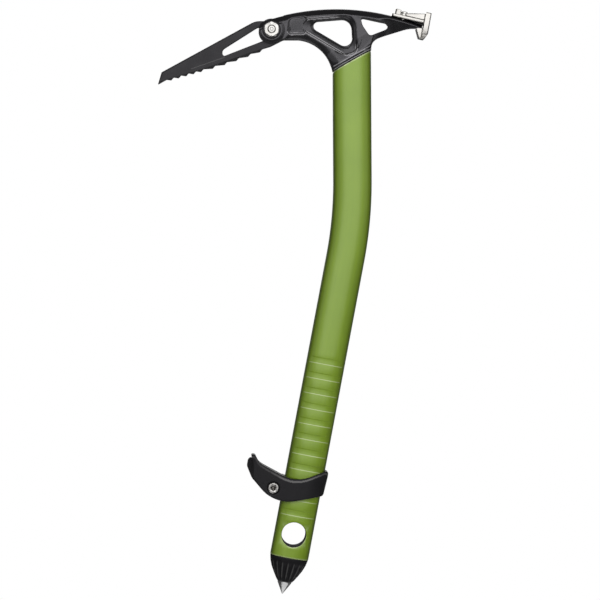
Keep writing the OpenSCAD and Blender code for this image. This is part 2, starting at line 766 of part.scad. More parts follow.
module pinky_collar() {
    color("black") at_screw() difference() {
        intersection() {
            plate(2 * collar_t) polygon(rounded(rest_side));
            translate([0, 0, -far]) linear_extrude(2 * far) rest_plan();
        }
        // shaft
        translate([axis_u, 0, -far]) linear_extrude(2 * far)
            polygon(oval(shaft_w + 2 * slide_gap, shaft_t + 2 * slide_gap));
        // slit between the arms
        translate([-far, -slit_w / 2, -far]) cube([far + axis_u, slit_w, 2 * far]);
        // flat for the lever on the far arm
        translate([-far, flat_y, -far]) cube([far + cam_r + 2 * lever_gap, far, 2 * far]);
        bar_y(tension_d / 2 + hole_gap, -far, far);
        bar_y(counterbore_r, -far, -counterbore_y);
    }
}

// Lever arm seen along the grip, from inside the hub out to the thumb tab
module lever_plan() {
    arm_y = flat_y + lever_gap;
    tip_u = -nose_out - 1;
    polygon(rounded([[-cam_r * 0.6, cam_y - cam_r * 0.5, 0], [-cam_r - 2, arm_y, 3], [tip_u, arm_y, 1],
        [tip_u, arm_y + lever_tip_t, 1.6], [lever_mid_u, arm_y + lever_mid_t, 12],
        [-cam_r * 0.3, cam_y + cam_r - 3 * cam_throw, 0]]));
}

module cam_lever() {
    color("dimgray") at_screw() difference() {
        intersection() {
            plate(4 * collar_t) polygon(rounded(lever_side));
            translate([0, 0, -far]) union() {
                linear_extrude(2 * far) lever_plan();
                translate([0, cam_y - cam_throw, 0]) cylinder(r = cam_r - cam_throw, h = 2 * far);
            }
        }
        translate([0, cam_y, -far]) cylinder(r = barrel_r + pin_gap, h = 2 * far);
        // fork gap that clears the tension screw
        translate([-cam_r - 1, 0, -tension_d / 2 - lever_gap]) cube([far, far, tension_d + 2 * lever_gap]);
    }
}

module pivot_barrel() {
    color("silver") at_screw() difference() {
        translate([0, cam_y, -hub_w / 2]) cylinder(r = barrel_r, h = hub_w);
        bar_y(tension_d / 2 + pin_gap, -far, far);
    }
}

module wear_plate() {
    color("silver") at_screw() difference() {
        translate([-wear_w / 2, flat_y, -hub_w / 2]) cube([wear_w, wear_t, hub_w]);
        bar_y(tension_d / 2 + hole_gap, -far, far);
    }
}

module tension_screw() {
    color("silver") at_screw() difference() {
        union() {
            bar_y(tension_head / 2, -tension_seat_y - tension_head_h, -tension_seat_y);
            bar_y(tension_d / 2, -tension_seat_y - eps, cam_y + barrel_r - lever_gap);
        }
        translate([0, -tension_seat_y - tension_head_h, 0]) plate(2 * socket_depth) hexagon(socket_af);
    }
}

module screw_washer() {
    color("black") at_screw() difference() {
        bar_y(tension_washer_r, -tension_seat_y, -counterbore_y);
        bar_y(tension_d / 2 + hole_gap, -far, far);
    }
}

shaft();
head();
pick();
pick_bolt();
pick_nut();
pick_washers();
hammer();
hammer_screw();
spike_ferrule();
spike_tip();
spike_pin();
pinky_collar();
cam_lever();
pivot_barrel();
wear_plate();
tension_screw();
screw_washer();
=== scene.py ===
import json
import bmesh
import bpy
from math import atan2, copysign, cos, exp, floor, hypot, inf, pi, radians, sin, tan
from mathutils import Matrix, Vector


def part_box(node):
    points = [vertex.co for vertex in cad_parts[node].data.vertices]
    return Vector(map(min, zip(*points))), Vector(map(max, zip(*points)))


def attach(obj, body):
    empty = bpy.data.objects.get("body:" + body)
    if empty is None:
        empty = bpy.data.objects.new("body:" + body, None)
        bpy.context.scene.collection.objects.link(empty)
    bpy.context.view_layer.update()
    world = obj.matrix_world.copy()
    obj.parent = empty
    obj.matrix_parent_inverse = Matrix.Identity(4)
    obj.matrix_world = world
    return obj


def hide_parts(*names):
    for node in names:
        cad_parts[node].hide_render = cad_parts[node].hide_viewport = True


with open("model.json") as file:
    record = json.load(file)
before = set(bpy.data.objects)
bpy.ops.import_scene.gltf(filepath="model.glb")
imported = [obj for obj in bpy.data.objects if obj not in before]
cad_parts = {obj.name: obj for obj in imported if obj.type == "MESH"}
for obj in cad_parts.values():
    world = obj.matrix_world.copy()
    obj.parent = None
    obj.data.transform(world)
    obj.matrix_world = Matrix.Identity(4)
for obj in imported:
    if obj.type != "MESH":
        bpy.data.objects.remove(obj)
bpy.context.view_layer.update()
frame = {"nodes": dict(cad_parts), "record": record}
scene = bpy.context.scene
mm = 0.001
print("frame loaded:", len(frame["nodes"]), "nodes")

# places that the frame gives
record = frame["record"]
jointOf = {joint["name"]: joint for joint in record["behaviour"]["joints"]}
slotOf = {part["node"]: part["material_slot"] for part in record["subparts"]}
bodyOf = {node: body for body, nodes in record["behaviour"]["bodies"].items() for node in nodes}
gripAxis = Vector(jointOf["rest_slide"]["axis"]).normalized()
gripLean = atan2(gripAxis.x, gripAxis.z)
gripTurn = Matrix.Rotation(gripLean, 4, "Y")  # X across the grip, Z up along it
intoGrip = gripTurn.inverted()
screwSpot = Vector(jointOf["tension_turn"]["pos_m"])
towardsCamera = Matrix.Rotation(radians(90), 4, "X")  # local Z to the near face, local Y up
inMillimetres = Matrix.Scale(mm, 4)
nutLow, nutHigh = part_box("pick_nut")
boltSpot = Vector(((nutLow.x + nutHigh.x) / 2, 0, (nutLow.z + nutHigh.z) / 2))

view = {
    "eye": Vector((-58.5, -1644.7, 198.4)) * mm,
    "target": Vector((6.67, 0, 198.36)) * mm,
    "angle": radians(17.61),
    "roll": radians(0.33),
}


def makeCamera():
    lens = bpy.data.cameras.new("camera")
    lens.angle = view["angle"]
    camera = bpy.data.objects.new("camera", lens)
    scene.collection.objects.link(camera)
    ahead = (view["target"] - view["eye"]).normalized()
    right = ahead.cross(Vector((sin(view["roll"]), 0, cos(view["roll"])))).normalized()
    turn = Matrix((right, right.cross(ahead), -ahead)).transposed()
    camera.matrix_world = Matrix.Translation(view["eye"]) @ turn.to_4x4()
    scene.camera = camera


makeCamera()
print("camera set")


# shader nodes

class Wire:  # a socket that Python's operators work on
    def __init__(self, kit, socket):
        self.kit = kit
        self.socket = socket

    def calc(self, operation, first, second):
        return self.kit.add("ShaderNodeMath", {"operation": operation}, {0: first, 1: second})

    def __add__(self, other):
        return self.calc("ADD", self, other)

    def __sub__(self, other):
        return self.calc("SUBTRACT", self, other)

    def __rsub__(self, other):
        return self.calc("SUBTRACT", other, self)

    def __mul__(self, other):
        return self.calc("MULTIPLY", self, other)

    __radd__ = __add__
    __rmul__ = __mul__


class NodeKit:  # the nodes of one material or of the world
    def __init__(self, owner):
        owner.use_nodes = True
        self.tree = owner.node_tree

    def add(self, kind, settings=None, values=None, out=0):
        node = self.tree.nodes.new(kind)
        for name, value in (settings or {}).items():
            setattr(node, name, value)
        for key, value in (values or {}).items():
            self.feed(node.inputs[key], value)
        return Wire(self, node.outputs[out])

    def feed(self, socket, value):
        if isinstance(value, Wire):
            self.tree.links.new(value.socket, socket)
        else:
            socket.default_value = value


def place(kit):
    return kit.add("ShaderNodeTexCoord", out="Object")


def attribute(kit, name, out="Fac"):
    return kit.add("ShaderNodeAttribute", {"attribute_name": name}, out=out)


def stretch(kit, vector, scale):
    return kit.add("ShaderNodeVectorMath", {"operation": "MULTIPLY"}, {0: vector, 1: scale})


def distance(kit, vector, scale):  # from the origin, along the axes that the scale keeps
    return kit.add("ShaderNodeVectorMath", {"operation": "LENGTH"}, {0: stretch(kit, vector, scale)}, "Value")


def noise(kit, vector, perMetre, detail=2, rough=0.5):
    return kit.add("ShaderNodeTexNoise", None, {"Vector": vector, "Scale": perMetre, "Detail": detail,
                                                "Roughness": rough})


def rise(kit, value, low, high, start=0, end=1):
    return kit.add("ShaderNodeMapRange", {"interpolation_type": "SMOOTHSTEP"},
                   {0: value, 1: low, 2: high, 3: start, 4: end})


def blend(kit, share, first, second):
    return kit.add("ShaderNodeMix", {"data_type": "RGBA"}, {0: share, 6: first, 7: second}, 2)


def bump(kit, height, depth):
    return kit.add("ShaderNodeBump", None, {"Height": height, "Distance": depth, "Strength": 1})


def makeFinish(sockets, look):
    material = bpy.data.materials.new(look["name"])
    kit = NodeKit(material)
    shader = kit.tree.nodes["Principled BSDF"]
    for socket, value in sockets(kit, look).items():
        kit.feed(shader.inputs[socket], value)
    return material


def grey(level, tint=(1, 1, 1)):
    return (level * tint[0], level * tint[1], level * tint[2], 1)


middleBand = (0.35, 0.65)  # values of a noise that a blend runs between
wideBand = (0.3, 0.7)

green = {
    "name": "greenAnodised",
    "deep": (0.25, 0.39, 0.014, 1),
    "light": (0.285, 0.435, 0.017, 1),
    # bare: colour of bare metal on worn edges, also painted as the highlights on the grooves, the seam and
    # the hole's rim
    "bareAndHighlight": (0.62, 0.7, 0.4, 1),
    "wearAndHighlight": [(0.1, 0.4, 0.5), (0.5, 0.9, 0.5)],  # edge wear and painted highlights from and up to, and the share given the bare and highlight colour
    # side: painted shade, a dark colour on the tube's two narrow sides where the oval turns away from the
    # light, with where it starts and ends and its share
    "side": (0.05, 0.085, 0.003, 1), "sideShadeReach": (13.6 * mm, 16.3 * mm), "sideShadeShare": 0.75,
    "streaks": (420, 420, 14),  # per metre across and along the tube
    "streakShare": 0.6,
    "grain": 5200,
    "cloud": 35,
    "depth": 0.008,
    "roughness": (0.64, 0.72),
    "metallic": 0.95,
    "coatRoughness": 0.34,
    "coatIor": 1.62,
}


def greenAnodised(kit, look):
    tube = attribute(kit, "tubePoint", "Vector")
    streak = noise(kit, stretch(kit, tube, look["streaks"]), 1, 3)
    grain = noise(kit, tube, look["grain"])
    cloud = noise(kit, tube, look["cloud"])
    edge = attribute(kit, "edgeWear")
    wear, moreWearAndHighlightMask = (rise(kit, edge, low, high, 0, share) for low, high, share in look["wearAndHighlight"])
    tone = rise(kit, streak * look["streakShare"] + cloud * (1 - look["streakShare"]), *middleBand)
    colour = blend(kit, tone, look["deep"], look["light"])
    # painted shade: the colour darkens towards the tube's two narrow sides, where the light falls off
    across = kit.add("ShaderNodeSeparateXYZ", None, {0: tube})
    side = rise(kit, across * across, *(reach ** 2 for reach in look["sideShadeReach"]))
    colour = blend(kit, side * look["sideShadeShare"], colour, look["side"])
    return {
        "Base Color": blend(kit, wear + moreWearAndHighlightMask, colour, look["bareAndHighlight"]),
        "Metallic": look["metallic"],
        "Roughness": rise(kit, (streak + grain) * 0.5, *wideBand, *look["roughness"]),
        "Coat Weight": 1,
        "Coat Roughness": look["coatRoughness"],
        "Coat IOR": look["coatIor"],
        "Normal": bump(kit, grain + streak * look["streakShare"], look["depth"] * mm),
    }


black = {
    "black_head": {"name": "blackHeadCoat", "base": 0.007, "wornAndLit": 0.1, "wearAndHighlight": 0.27, "gloss": 0.72,
                   "roughness": (0.25, 0.33), "peel": 1400, "depth": 0.03, "wear": (0.1, 0.5)},
    "black_pick": {"name": "greyPickCoat", "base": 0.01, "wornAndLit": 0.07, "gloss": 0.4,
                   "roughness": (0.44, 0.56), "peel": 2600, "wear": (0.12, 0.5)},
    "black_ferrule": {"name": "satinFerrule", "base": 0.006, "wornAndLit": 0.04, "bore": 10.5 * mm,
                      "roughness": (0.34, 0.44), "peel": 2200, "depth": 0.015},
    "black_washer": {"name": "blackOxide", "base": 0.01, "wornAndLit": 0.05, "gloss": 0.4,
                     "roughness": (0.35, 0.5), "peel": 3000, "depth": 0.012},
    "black_rest": {"name": "mouldedRest", "base": 0.009, "wornAndLit": 0.11,
                   "roughness": (0.36, 0.44), "peel": 3400},
    "black_lever": {"name": "mouldedLever", "base": 0.008, "wornAndLit": 0.02,
                    "roughness": (0.4, 0.5), "peel": 3400},
}
coat = {  # for every black finish whose own settings don't say otherwise
    "gloss": 0.2, "depth": 0.02, "wear": (0.1, 0.6), "patch": 90, "shares": (0.85, 1.15), "polish": 0.14,
    "tint": (1, 0.98, 1.06), "wornAndLitTint": (1, 0.98, 0.97), "wearAndHighlightTint": (1, 0.98, 1.03),
    "shine": (0.96, 0.94, 1, 1), "scuff": 420, "scuffRough": 0.65, "scuffShare": 0.35, "wearAndHighlightAt": (0.8, 1.1),
    "boreFade": 0.2 * mm, "boreRough": 0.6,
}


def blackCoat(kit, own):
    look = {**coat, **own}
    spot = place(kit)
    peel = noise(kit, spot, look["peel"], 3)
    patch = noise(kit, spot, look["patch"], 3)
    scuff = noise(kit, spot, look["scuff"], 4, look["scuffRough"])
    edge = attribute(kit, "edgeWear")
    wear = rise(kit, edge + (scuff - 0.5) * look["scuffShare"], *look["wear"])
    dark, light = (grey(look["base"] * share, look["tint"]) for share in look["shares"])
    colour = blend(kit, patch, dark, light)
    rough = rise(kit, (patch + peel) * 0.5, *middleBand, *look["roughness"])
    rough = rough - attribute(kit, "polish") * look["polish"]
    if "bore" in look:  # matt inside the hole
        away = distance(kit, spot, (1, 0, 1))
        rough = rough + rise(kit, away, look["bore"], look["bore"] + look["boreFade"], look["boreRough"], 0)
    # colour of worn edges, also the colour of painted highlights such as the pinky rest's top band
    wornAndLit = grey(look["wornAndLit"], look["wornAndLitTint"])
    if "wearAndHighlight" in look:  # brighter where the edge value is highest: the sharpest worn edges and the painted highlight lines
        wornAndLit = blend(kit, rise(kit, edge, *look["wearAndHighlightAt"]), wornAndLit, grey(look["wearAndHighlight"], look["wearAndHighlightTint"]))
    return {
        "Base Color": blend(kit, wear, colour, wornAndLit),
        "Roughness": rough,
        "Specular IOR Level": look["gloss"],
        "Specular Tint": look["shine"],
        "Normal": bump(kit, peel, look["depth"] * mm),
    }


bright = {
    "bright_hammer": {"name": "castStainless", "mottle": 500, "depth": 0.025, "roughness": (0.2, 0.34),
                      "dark": (0.42, 0.407, 0.385, 1), "light": (0.54, 0.525, 0.5, 1)},
    "bright_fastener": {"name": "brightStainless", "mottle": 1600, "depth": 0.003, "roughness": (0.22, 0.34),
                        "dark": (0.38, 0.37, 0.355, 1), "light": (0.6, 0.59, 0.57, 1)},
    "bright_spike": {"name": "groundSteel", "mottle": 2400, "depth": 0.008, "roughness": (0.2, 0.34),
                     "dark": (0.5, 0.5, 0.5, 1), "light": (0.66, 0.66, 0.66, 1)},
}
steel = {"mottleRough": 0.6, "mottleShare": 0.6, "patch": 110}  # what the bright finishes share


def brightSteel(kit, look):
    spot = place(kit)
    mottle = noise(kit, spot, look["mottle"], 4, steel["mottleRough"])
    patch = noise(kit, spot, steel["patch"], 3)
    tone = rise(kit, mottle * steel["mottleShare"] + patch * (1 - steel["mottleShare"]), *middleBand)
    return {
        "Base Color": blend(kit, tone, look["dark"], look["light"]),
        "Metallic": 1,
        "Roughness": rise(kit, mottle, *wideBand, *look["roughness"]),
        "Normal": bump(kit, mottle, look["depth"] * mm),
    }


finish = {"green_shaft": makeFinish(greenAnodised, green)}
for sockets, looks in ((blackCoat, black), (brightSteel, bright)):
    for slot, look in looks.items():
        finish[slot] = makeFinish(sockets, look)
print("finishes made:", len(finish))


# mesh helpers

wearReach = 1 * mm  # how far a point stands out where a turned piece is fully worn
facing = 0.5  # a side's faces point across the tool by more than this


def ease(share):
    share = min(max(share, 0), 1)
    return share * share * (3 - 2 * share)


def between(first, second, share):
    return first + (second - first) * share


def rolled(across, climb, power=2):  # share by which a place near an edge moves in, to round it
    if across <= 0 or climb <= 0:
        return 0
    return max(1 - (across ** power + climb ** power) ** (-1 / power), 0)


def sideSpot(vert, centre):  # place seen from the side, in millimetres: across and up
    return Vector((vert.co.x - centre.x, vert.co.z - centre.z)) / mm


def thinTo(vert, half):  # brings a point in to a half thickness in millimetres
    vert.co.y = copysign(min(abs(vert.co.y), half * mm), vert.co.y)


def markEdges(skin, reach):  # how far each point stands out from its neighbours, for the edge wear; on some pieces painted highlights are then written into the same layer
    skin.normal_update()
    layer = skin.verts.layers.float.new("edgeWear")
    for vert in skin.verts:
        near = [edge.other_vert(vert).co for edge in vert.link_edges]
        middle = sum(near, Vector()) / len(near)
        vert[layer] = (vert.co - middle).dot(vert.normal) / reach
    return layer


def makeObject(skin, name, material=None):
    mesh = bpy.data.meshes.new(name)
    skin.to_mesh(mesh)
    skin.free()
    if material:
        mesh.materials.append(material)
    thing = bpy.data.objects.new(name, mesh)
    scene.collection.objects.link(thing)
    return thing


def finishPiece(skin, name, node, sharp=60):
    piece = makeObject(skin, name, finish[slotOf[node]])
    piece.data.shade_smooth()
    piece.data.set_sharp_from_angle(angle=radians(sharp))
    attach(piece, bodyOf[node])
    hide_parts(node)
    print("piece", name, len(piece.data.polygons), "faces")


def nodeSkin(node):  # the CAD solid's skin, with its loose triangles joined
    skin = bmesh.new()
    skin.from_mesh(frame["nodes"][node].data)
    bmesh.ops.remove_doubles(skin, verts=skin.verts, dist=0.002 * mm)
    return skin


def relax(skin, passes, verts=None):
    for step in range(passes):
        bmesh.ops.smooth_vert(skin, verts=verts or skin.verts, factor=0.5, use_axis_x=True, use_axis_y=True,
                              use_axis_z=True)


def meltedSkin(skin, look):  # the same skin with every edge softened
    holder = makeObject(skin, "melt")
    mesh = holder.data
    remesh = holder.modifiers.new("melt", "REMESH")
    remesh.mode = "VOXEL"
    remesh.voxel_size = look["voxel"]
    soft = bmesh.new()
    soft.from_object(holder, bpy.context.evaluated_depsgraph_get())
    bpy.data.objects.remove(holder)
    bpy.data.meshes.remove(mesh)
    relax(soft, look["passes"])
    return soft


def isSharp(edge, angle):
    return edge.is_manifold and edge.calc_face_angle() > radians(angle)


def openEdges(skin):
    return [edge for edge in skin.edges if edge.is_boundary]


def bevelEdges(skin, edges, offset, segments):
    bmesh.ops.bevel(skin, geom=edges, offset=offset, offset_type="OFFSET", segments=segments, profile=0.5,
                    affect="EDGES", material=-1, clamp_overlap=True)


def softenEdges(skin, offset, segments=2, angle=30):
    skin.normal_update()
    bevelEdges(skin, [edge for edge in skin.edges if isSharp(edge, angle)], offset, segments)


def joinFlats(skin):  # the triangles of a flat face made one
    bmesh.ops.dissolve_limit(skin, angle_limit=radians(1), use_dissolve_boundaries=False,
                             verts=skin.verts, edges=skin.edges, delimit=set())


def cutPlane(skin, point, normal, away):  # cuts along a plane, and takes what is past it away if asked
    bmesh.ops.bisect_plane(skin, geom=skin.verts[:] + skin.edges[:] + skin.faces[:], dist=0.001 * mm,
                           plane_co=point, plane_no=normal, clear_outer=away)


def cutOff(skin, point, normal):
    cutPlane(skin, point, normal, True)
    bmesh.ops.holes_fill(skin, edges=openEdges(skin), sides=0)


# turned pieces, from rings of a radius and a height

def hexagon(acrossFlats, start=0):  # radius of a hexagon by angle, with a flat's middle at start
    sixth = pi / 3

    def radius(angle):
        return acrossFlats / 2 / cos((angle - start + sixth / 2) % sixth - sixth / 2)
    return radius


def setRing(verts, radius, height):
    for vert in verts:
        angle = atan2(vert.co.y, vert.co.x)
        across = radius(angle) if callable(radius) else radius
        vert.co = (across * cos(angle), across * sin(angle),
                   height(angle) if callable(height) else height)


def growRing(skin, edges):
    grown = bmesh.ops.extrude_edge_only(skin, edges=edges)["geom"]
    verts = [item for item in grown if isinstance(item, bmesh.types.BMVert)]
    fresh = set(verts)
    edges = [item for item in grown if isinstance(item, bmesh.types.BMEdge) and set(item.verts) <= fresh]
    return verts, edges


def turnedSolid(skin, layers, where, bored, sides):
    verts = bmesh.ops.create_circle(skin, cap_ends=False, radius=1, segments=sides)["verts"]
    made = list(verts)
    first = edges = list({edge for vert in verts for edge in vert.link_edges})
    setRing(verts, *layers[0])
    for radius, height in layers[1:]:
        verts, edges = growRing(skin, edges)
        setRing(verts, radius, height)
        made += verts
    if bored:
        bmesh.ops.bridge_loops(skin, edges=first + edges)
    else:
        bmesh.ops.contextual_create(skin, geom=first)
        bmesh.ops.contextual_create(skin, geom=edges)
    faces = list({face for vert in made for face in vert.link_faces})
    bmesh.ops.recalc_face_normals(skin, faces=faces)
    bmesh.ops.transform(skin, matrix=where, verts=made)


def finishSteel(skin, name, node, broken, angle=30, sharp=35):  # edges broken by so many millimetres
    softenEdges(skin, broken * mm, angle=angle)
    markEdges(skin, wearReach)
    finishPiece(skin, name, node, sharp)


def makeTurned(name, node, solids, where, broken, bored=False, sides=48, **angles):
    skin = bmesh.new()
    for layers in solids:
        turnedSolid(skin, layers, where, bored, sides)
    finishSteel(skin, name, node, broken, **angles)


def washerLayers(hole, outer, low, high):
    return [(hole, low), (hole, high), (outer, high), (outer, low)]


def screwLayers(screw):  # from the shank's end to the floor of the hexagon socket
    shank, shankCut, top = (screw[key] for key in ("shank", "shankCut", "top"))
    cap, capCut = screw["head"], screw["headCut"]
    socket = hexagon(screw["socket"])
    return [
        (shank - shankCut, screw["end"]),
        (shank, screw["end"] + shankCut),
        (shank, screw["seat"]),
        (cap, screw["seat"]),
        (cap, top - capCut),
        (cap - capCut, top),
        (screw["socket"] / 2 + screw["rim"], top),
        (socket, top - screw["rimDrop"]),
        (socket, top - screw["depth"]),
    ]


# shaft: a straight oval tube with its hole and grooves, then bent and cut along the seam
shaft = {
    "width": 32.8 * mm, "thick": 21.5 * mm, "wall": 2 * mm, "exponent": 2.4, "around": 96, "sharp": 50,
    "tail": 20 * mm, "straight": 238.78 * mm, "bendRadius": 345 * mm,
    "seamHeight": 400.703 * mm, "seamSlope": radians(29), "spare": 12 * mm,
    "holeRadius": 10.55 * mm, "holePatch": 13.2 * mm, "holeChamfer": 0.85 * mm, "holeDrop": 0.25 * mm,
    "grooves": 11, "pitch": 13.05 * mm, "grooveHeight": 5 * mm, "grooveDepth": 0.24 * mm,
    "grooveReach": 14.5 * mm, "grooveFade": 3 * mm, "grooveStart": 15.8 * mm, "grooveWall": 0.8 * mm,
    "chamfer": 1.2 * mm, "chamferDrop": 0.24 * mm, "rim": 0.35 * mm, "rimSegments": 3, "rimAngle": 40,
    # rings along the tube: at the tail, past each groove, on the rest of the grip and in the bend
    "tailStep": 1.9 * mm, "tailRings": 19, "pastGroove": 4 * mm, "gripStep": 6 * mm, "bendStep": 3 * mm,
    # what counts as the outer skin: share of the oval, and distance at the seam
    "outside": 0.97, "outsideSlack": 0.1 * mm,
    # painted highlights on the grooves' lower walls, the seam's chamfer and the hole's lower rim, where they
    # face the light, wear on the lower rim, and how far each reaches
    "grooveHighlight": 0.6, "grooveHighlightSpan": (0.02, 0.98), "seamHighlight": 0.9, "seamHighlightReach": 0.6,
    "rimWear": 0.4, "rimWorn": 0.9 * mm, "holeHighlight": 0.95, "holeHighlightReach": 0.4, "holeHighlightSlope": 1.6,
}
bendAcross = Vector((cos(gripLean), 0, -sin(gripLean)))
bendCentre = gripAxis * shaft["straight"] - bendAcross * shaft["bendRadius"]
seamCentre = Vector((bendCentre.x + shaft["bendRadius"], 0, shaft["seamHeight"]))
seamNormal = Vector((-sin(shaft["seamSlope"]), 0, cos(shaft["seamSlope"])))


def aboveSeam(vert):
    return (vert.co - seamCentre).dot(seamNormal)


def ovalHalf(across):  # half thickness of the shaft at a place across it
    share = min(abs(across) / (shaft["width"] / 2), 1)
    return shaft["thick"] / 2 * (1 - share ** shaft["exponent"]) ** (1 / shaft["exponent"])


def ovalPoint(angle):  # place on the shaft's oval
    power = 2 / shaft["exponent"]
    across, out = (copysign(abs(part) ** power, part) for part in (cos(angle), sin(angle)))
    return across * shaft["width"] / 2, out * shaft["thick"] / 2


def grooveWalls(along):  # how far a place is past a groove's lower wall and its upper one, from 0 to 1
    climb = fall = 0
    for index in range(shaft["grooves"]):
        low = along - shaft["grooveStart"] - index * shaft["pitch"]
        if 0 <= low + shaft["grooveWall"] / 2 < shaft["pitch"]:
            climb = ease(low / shaft["grooveWall"] + 0.5)
            fall = ease((low - shaft["grooveHeight"]) / shaft["grooveWall"] + 0.5)
    return climb, fall


def shaftStops(top):  # places of the rings along the tube, close together where it changes
    stops = [-shaft["tail"] + shaft["tailStep"] * index for index in range(shaft["tailRings"])]
    for index in range(shaft["grooves"]):
        low = shaft["grooveStart"] + index * shaft["pitch"]
        high = low + shaft["grooveHeight"]
        for edge in (low, high):
            stops += [edge + sixth / 6 * shaft["grooveWall"] for sixth in range(-3, 4)]
        stops += [low + shaft["grooveHeight"] / 2, high + shaft["pastGroove"]]
    stops.sort()
    for end, step in ((shaft["straight"], shaft["gripStep"]), (top, shaft["bendStep"])):
        while stops[-1] < end:
            stops.append(stops[-1] + step)
    return stops


def bentPoint(point):  # from the straight tube to the bent one
    over = point.z - shaft["straight"]
    if over <= 0:
        return gripTurn @ point
    lean = max(gripLean - over / shaft["bendRadius"], 0)
    reach = shaft["bendRadius"] + point.x
    bent = bendCentre + Vector((reach * cos(lean), point.y, -reach * sin(lean)))
    bent.z += max(over - gripLean * shaft["bendRadius"], 0)
    return bent


def cutClipHole(skin, side):
    patch = shaft["holePatch"]
    faces = [face for face in skin.faces
             if all(vert.co.y * side > 0 and abs(vert.co.x) < patch and abs(vert.co.z) < patch
                    for vert in face.verts)]
    bmesh.ops.delete(skin, geom=faces, context="FACES")
    border = [edge for edge in openEdges(skin)
              if all(vert.co.y * side > 0 and abs(vert.co.z) < patch for vert in edge.verts)]
    radius = shaft["holeRadius"] + shaft["holeChamfer"]
    ring = bmesh.ops.create_circle(skin, cap_ends=False, radius=radius, segments=len(border),
                                   matrix=towardsCamera)["verts"]
    for vert in ring:
        vert.co.y = ovalHalf(vert.co.x) * side
    edges = list({edge for vert in ring for edge in vert.link_edges})
    bmesh.ops.bridge_loops(skin, edges=border + edges)
    for vert in growRing(skin, edges)[0]:
        vert.co *= shaft["holeRadius"] / radius
        vert.co.y = (ovalHalf(vert.co.x) - shaft["holeDrop"]) * side


def cutSeam(skin):  # the outer edge of the cut leans in, and the wall is closed
    for depth, away in ((shaft["chamfer"], False), (0, True)):
        cutPlane(skin, seamCentre - seamNormal * depth, seamNormal, away)
    for vert in skin.verts:
        across = vert.co.x - seamCentre.x
        if vert.is_boundary and abs(vert.co.y) > ovalHalf(across) - shaft["outsideSlack"]:
            vert.co -= Vector((across, vert.co.y, 0)).normalized() * shaft["chamferDrop"]
    bmesh.ops.bridge_loops(skin, edges=openEdges(skin))
    skin.normal_update()
    rim = [edge for edge in skin.edges if isSharp(edge, shaft["rimAngle"])
           and all(abs(aboveSeam(vert)) < 0.01 * mm for vert in edge.verts)]
    bevelEdges(skin, rim, shaft["rim"], shaft["rimSegments"])
    bmesh.ops.recalc_face_normals(skin, faces=skin.faces)


def markShaftWearAndHighlights(skin, tubePoint):
    # painted highlights on the grooves' lower walls, the seam's chamfer and the lower half of the hole's rim;
    # the tube's bottom rim gets wear
    wear = markEdges(skin, wearReach)
    low, high = shaft["grooveHighlightSpan"]
    for vert in skin.verts:
        tube = vert[tubePoint]
        if low < grooveWalls(tube.z)[0] < high and abs(tube.x) < shaft["grooveReach"]:
            vert[wear] = max(vert[wear], shaft["grooveHighlight"])
        if aboveSeam(vert) > -shaft["seamHighlightReach"] * shaft["chamfer"]:
            vert[wear] = shaft["seamHighlight"]
        if tube.z < shaft["rimWorn"] - shaft["tail"]:
            vert[wear] = shaft["rimWear"]
        if hypot(vert.co.x, vert.co.z) < shaft["holeRadius"] + shaft["holeHighlightReach"] * shaft["holeChamfer"]:
            below = ease(-vert.co.z / shaft["holeRadius"] * shaft["holeHighlightSlope"])
            vert[wear] = max(vert[wear], shaft["holeHighlight"] * below)


def makeShaft():
    skin = bmesh.new()
    top = shaft["straight"] + gripLean * shaft["bendRadius"] + seamCentre.z - bendCentre.z + shaft["spare"]
    stops = shaftStops(top)
    ring = bmesh.ops.create_circle(skin, cap_ends=False, radius=1, segments=shaft["around"])["verts"]
    for vert in ring:
        vert.co = (*ovalPoint(atan2(vert.co.y, vert.co.x)), stops[0])
    edges = skin.edges[:]
    for stop in stops[1:]:
        verts, edges = growRing(skin, edges)
        for vert in verts:
            vert.co.z = stop
    for side in (-1, 1):
        cutClipHole(skin, side)
    bmesh.ops.recalc_face_normals(skin, faces=skin.faces)
    bmesh.ops.solidify(skin, geom=skin.faces[:], thickness=shaft["wall"])
    softenEdges(skin, shaft["rim"], shaft["rimSegments"], shaft["sharp"])
    # grooves on the outer skin, and the straight tube's own place kept for the finish
    tubePoint = skin.verts.layers.float_vector.new("tubePoint")
    for vert in skin.verts:
        vert[tubePoint] = vert.co
        reach = (abs(vert.co.x) / (shaft["width"] / 2)) ** shaft["exponent"]
        reach += (abs(vert.co.y) / (shaft["thick"] / 2)) ** shaft["exponent"]
        climb, fall = grooveWalls(vert.co.z)
        if reach > shaft["outside"]:
            depth = shaft["grooveDepth"] * ease((shaft["grooveReach"] - abs(vert.co.x)) / shaft["grooveFade"])
            vert.co.y -= copysign(depth * climb * (1 - fall), vert.co.y)
        vert.co = bentPoint(vert.co)
    cutSeam(skin)
    markShaftWearAndHighlights(skin, tubePoint)
    finishPiece(skin, "shaftTube", "shaft", shaft["sharp"])


makeShaft()


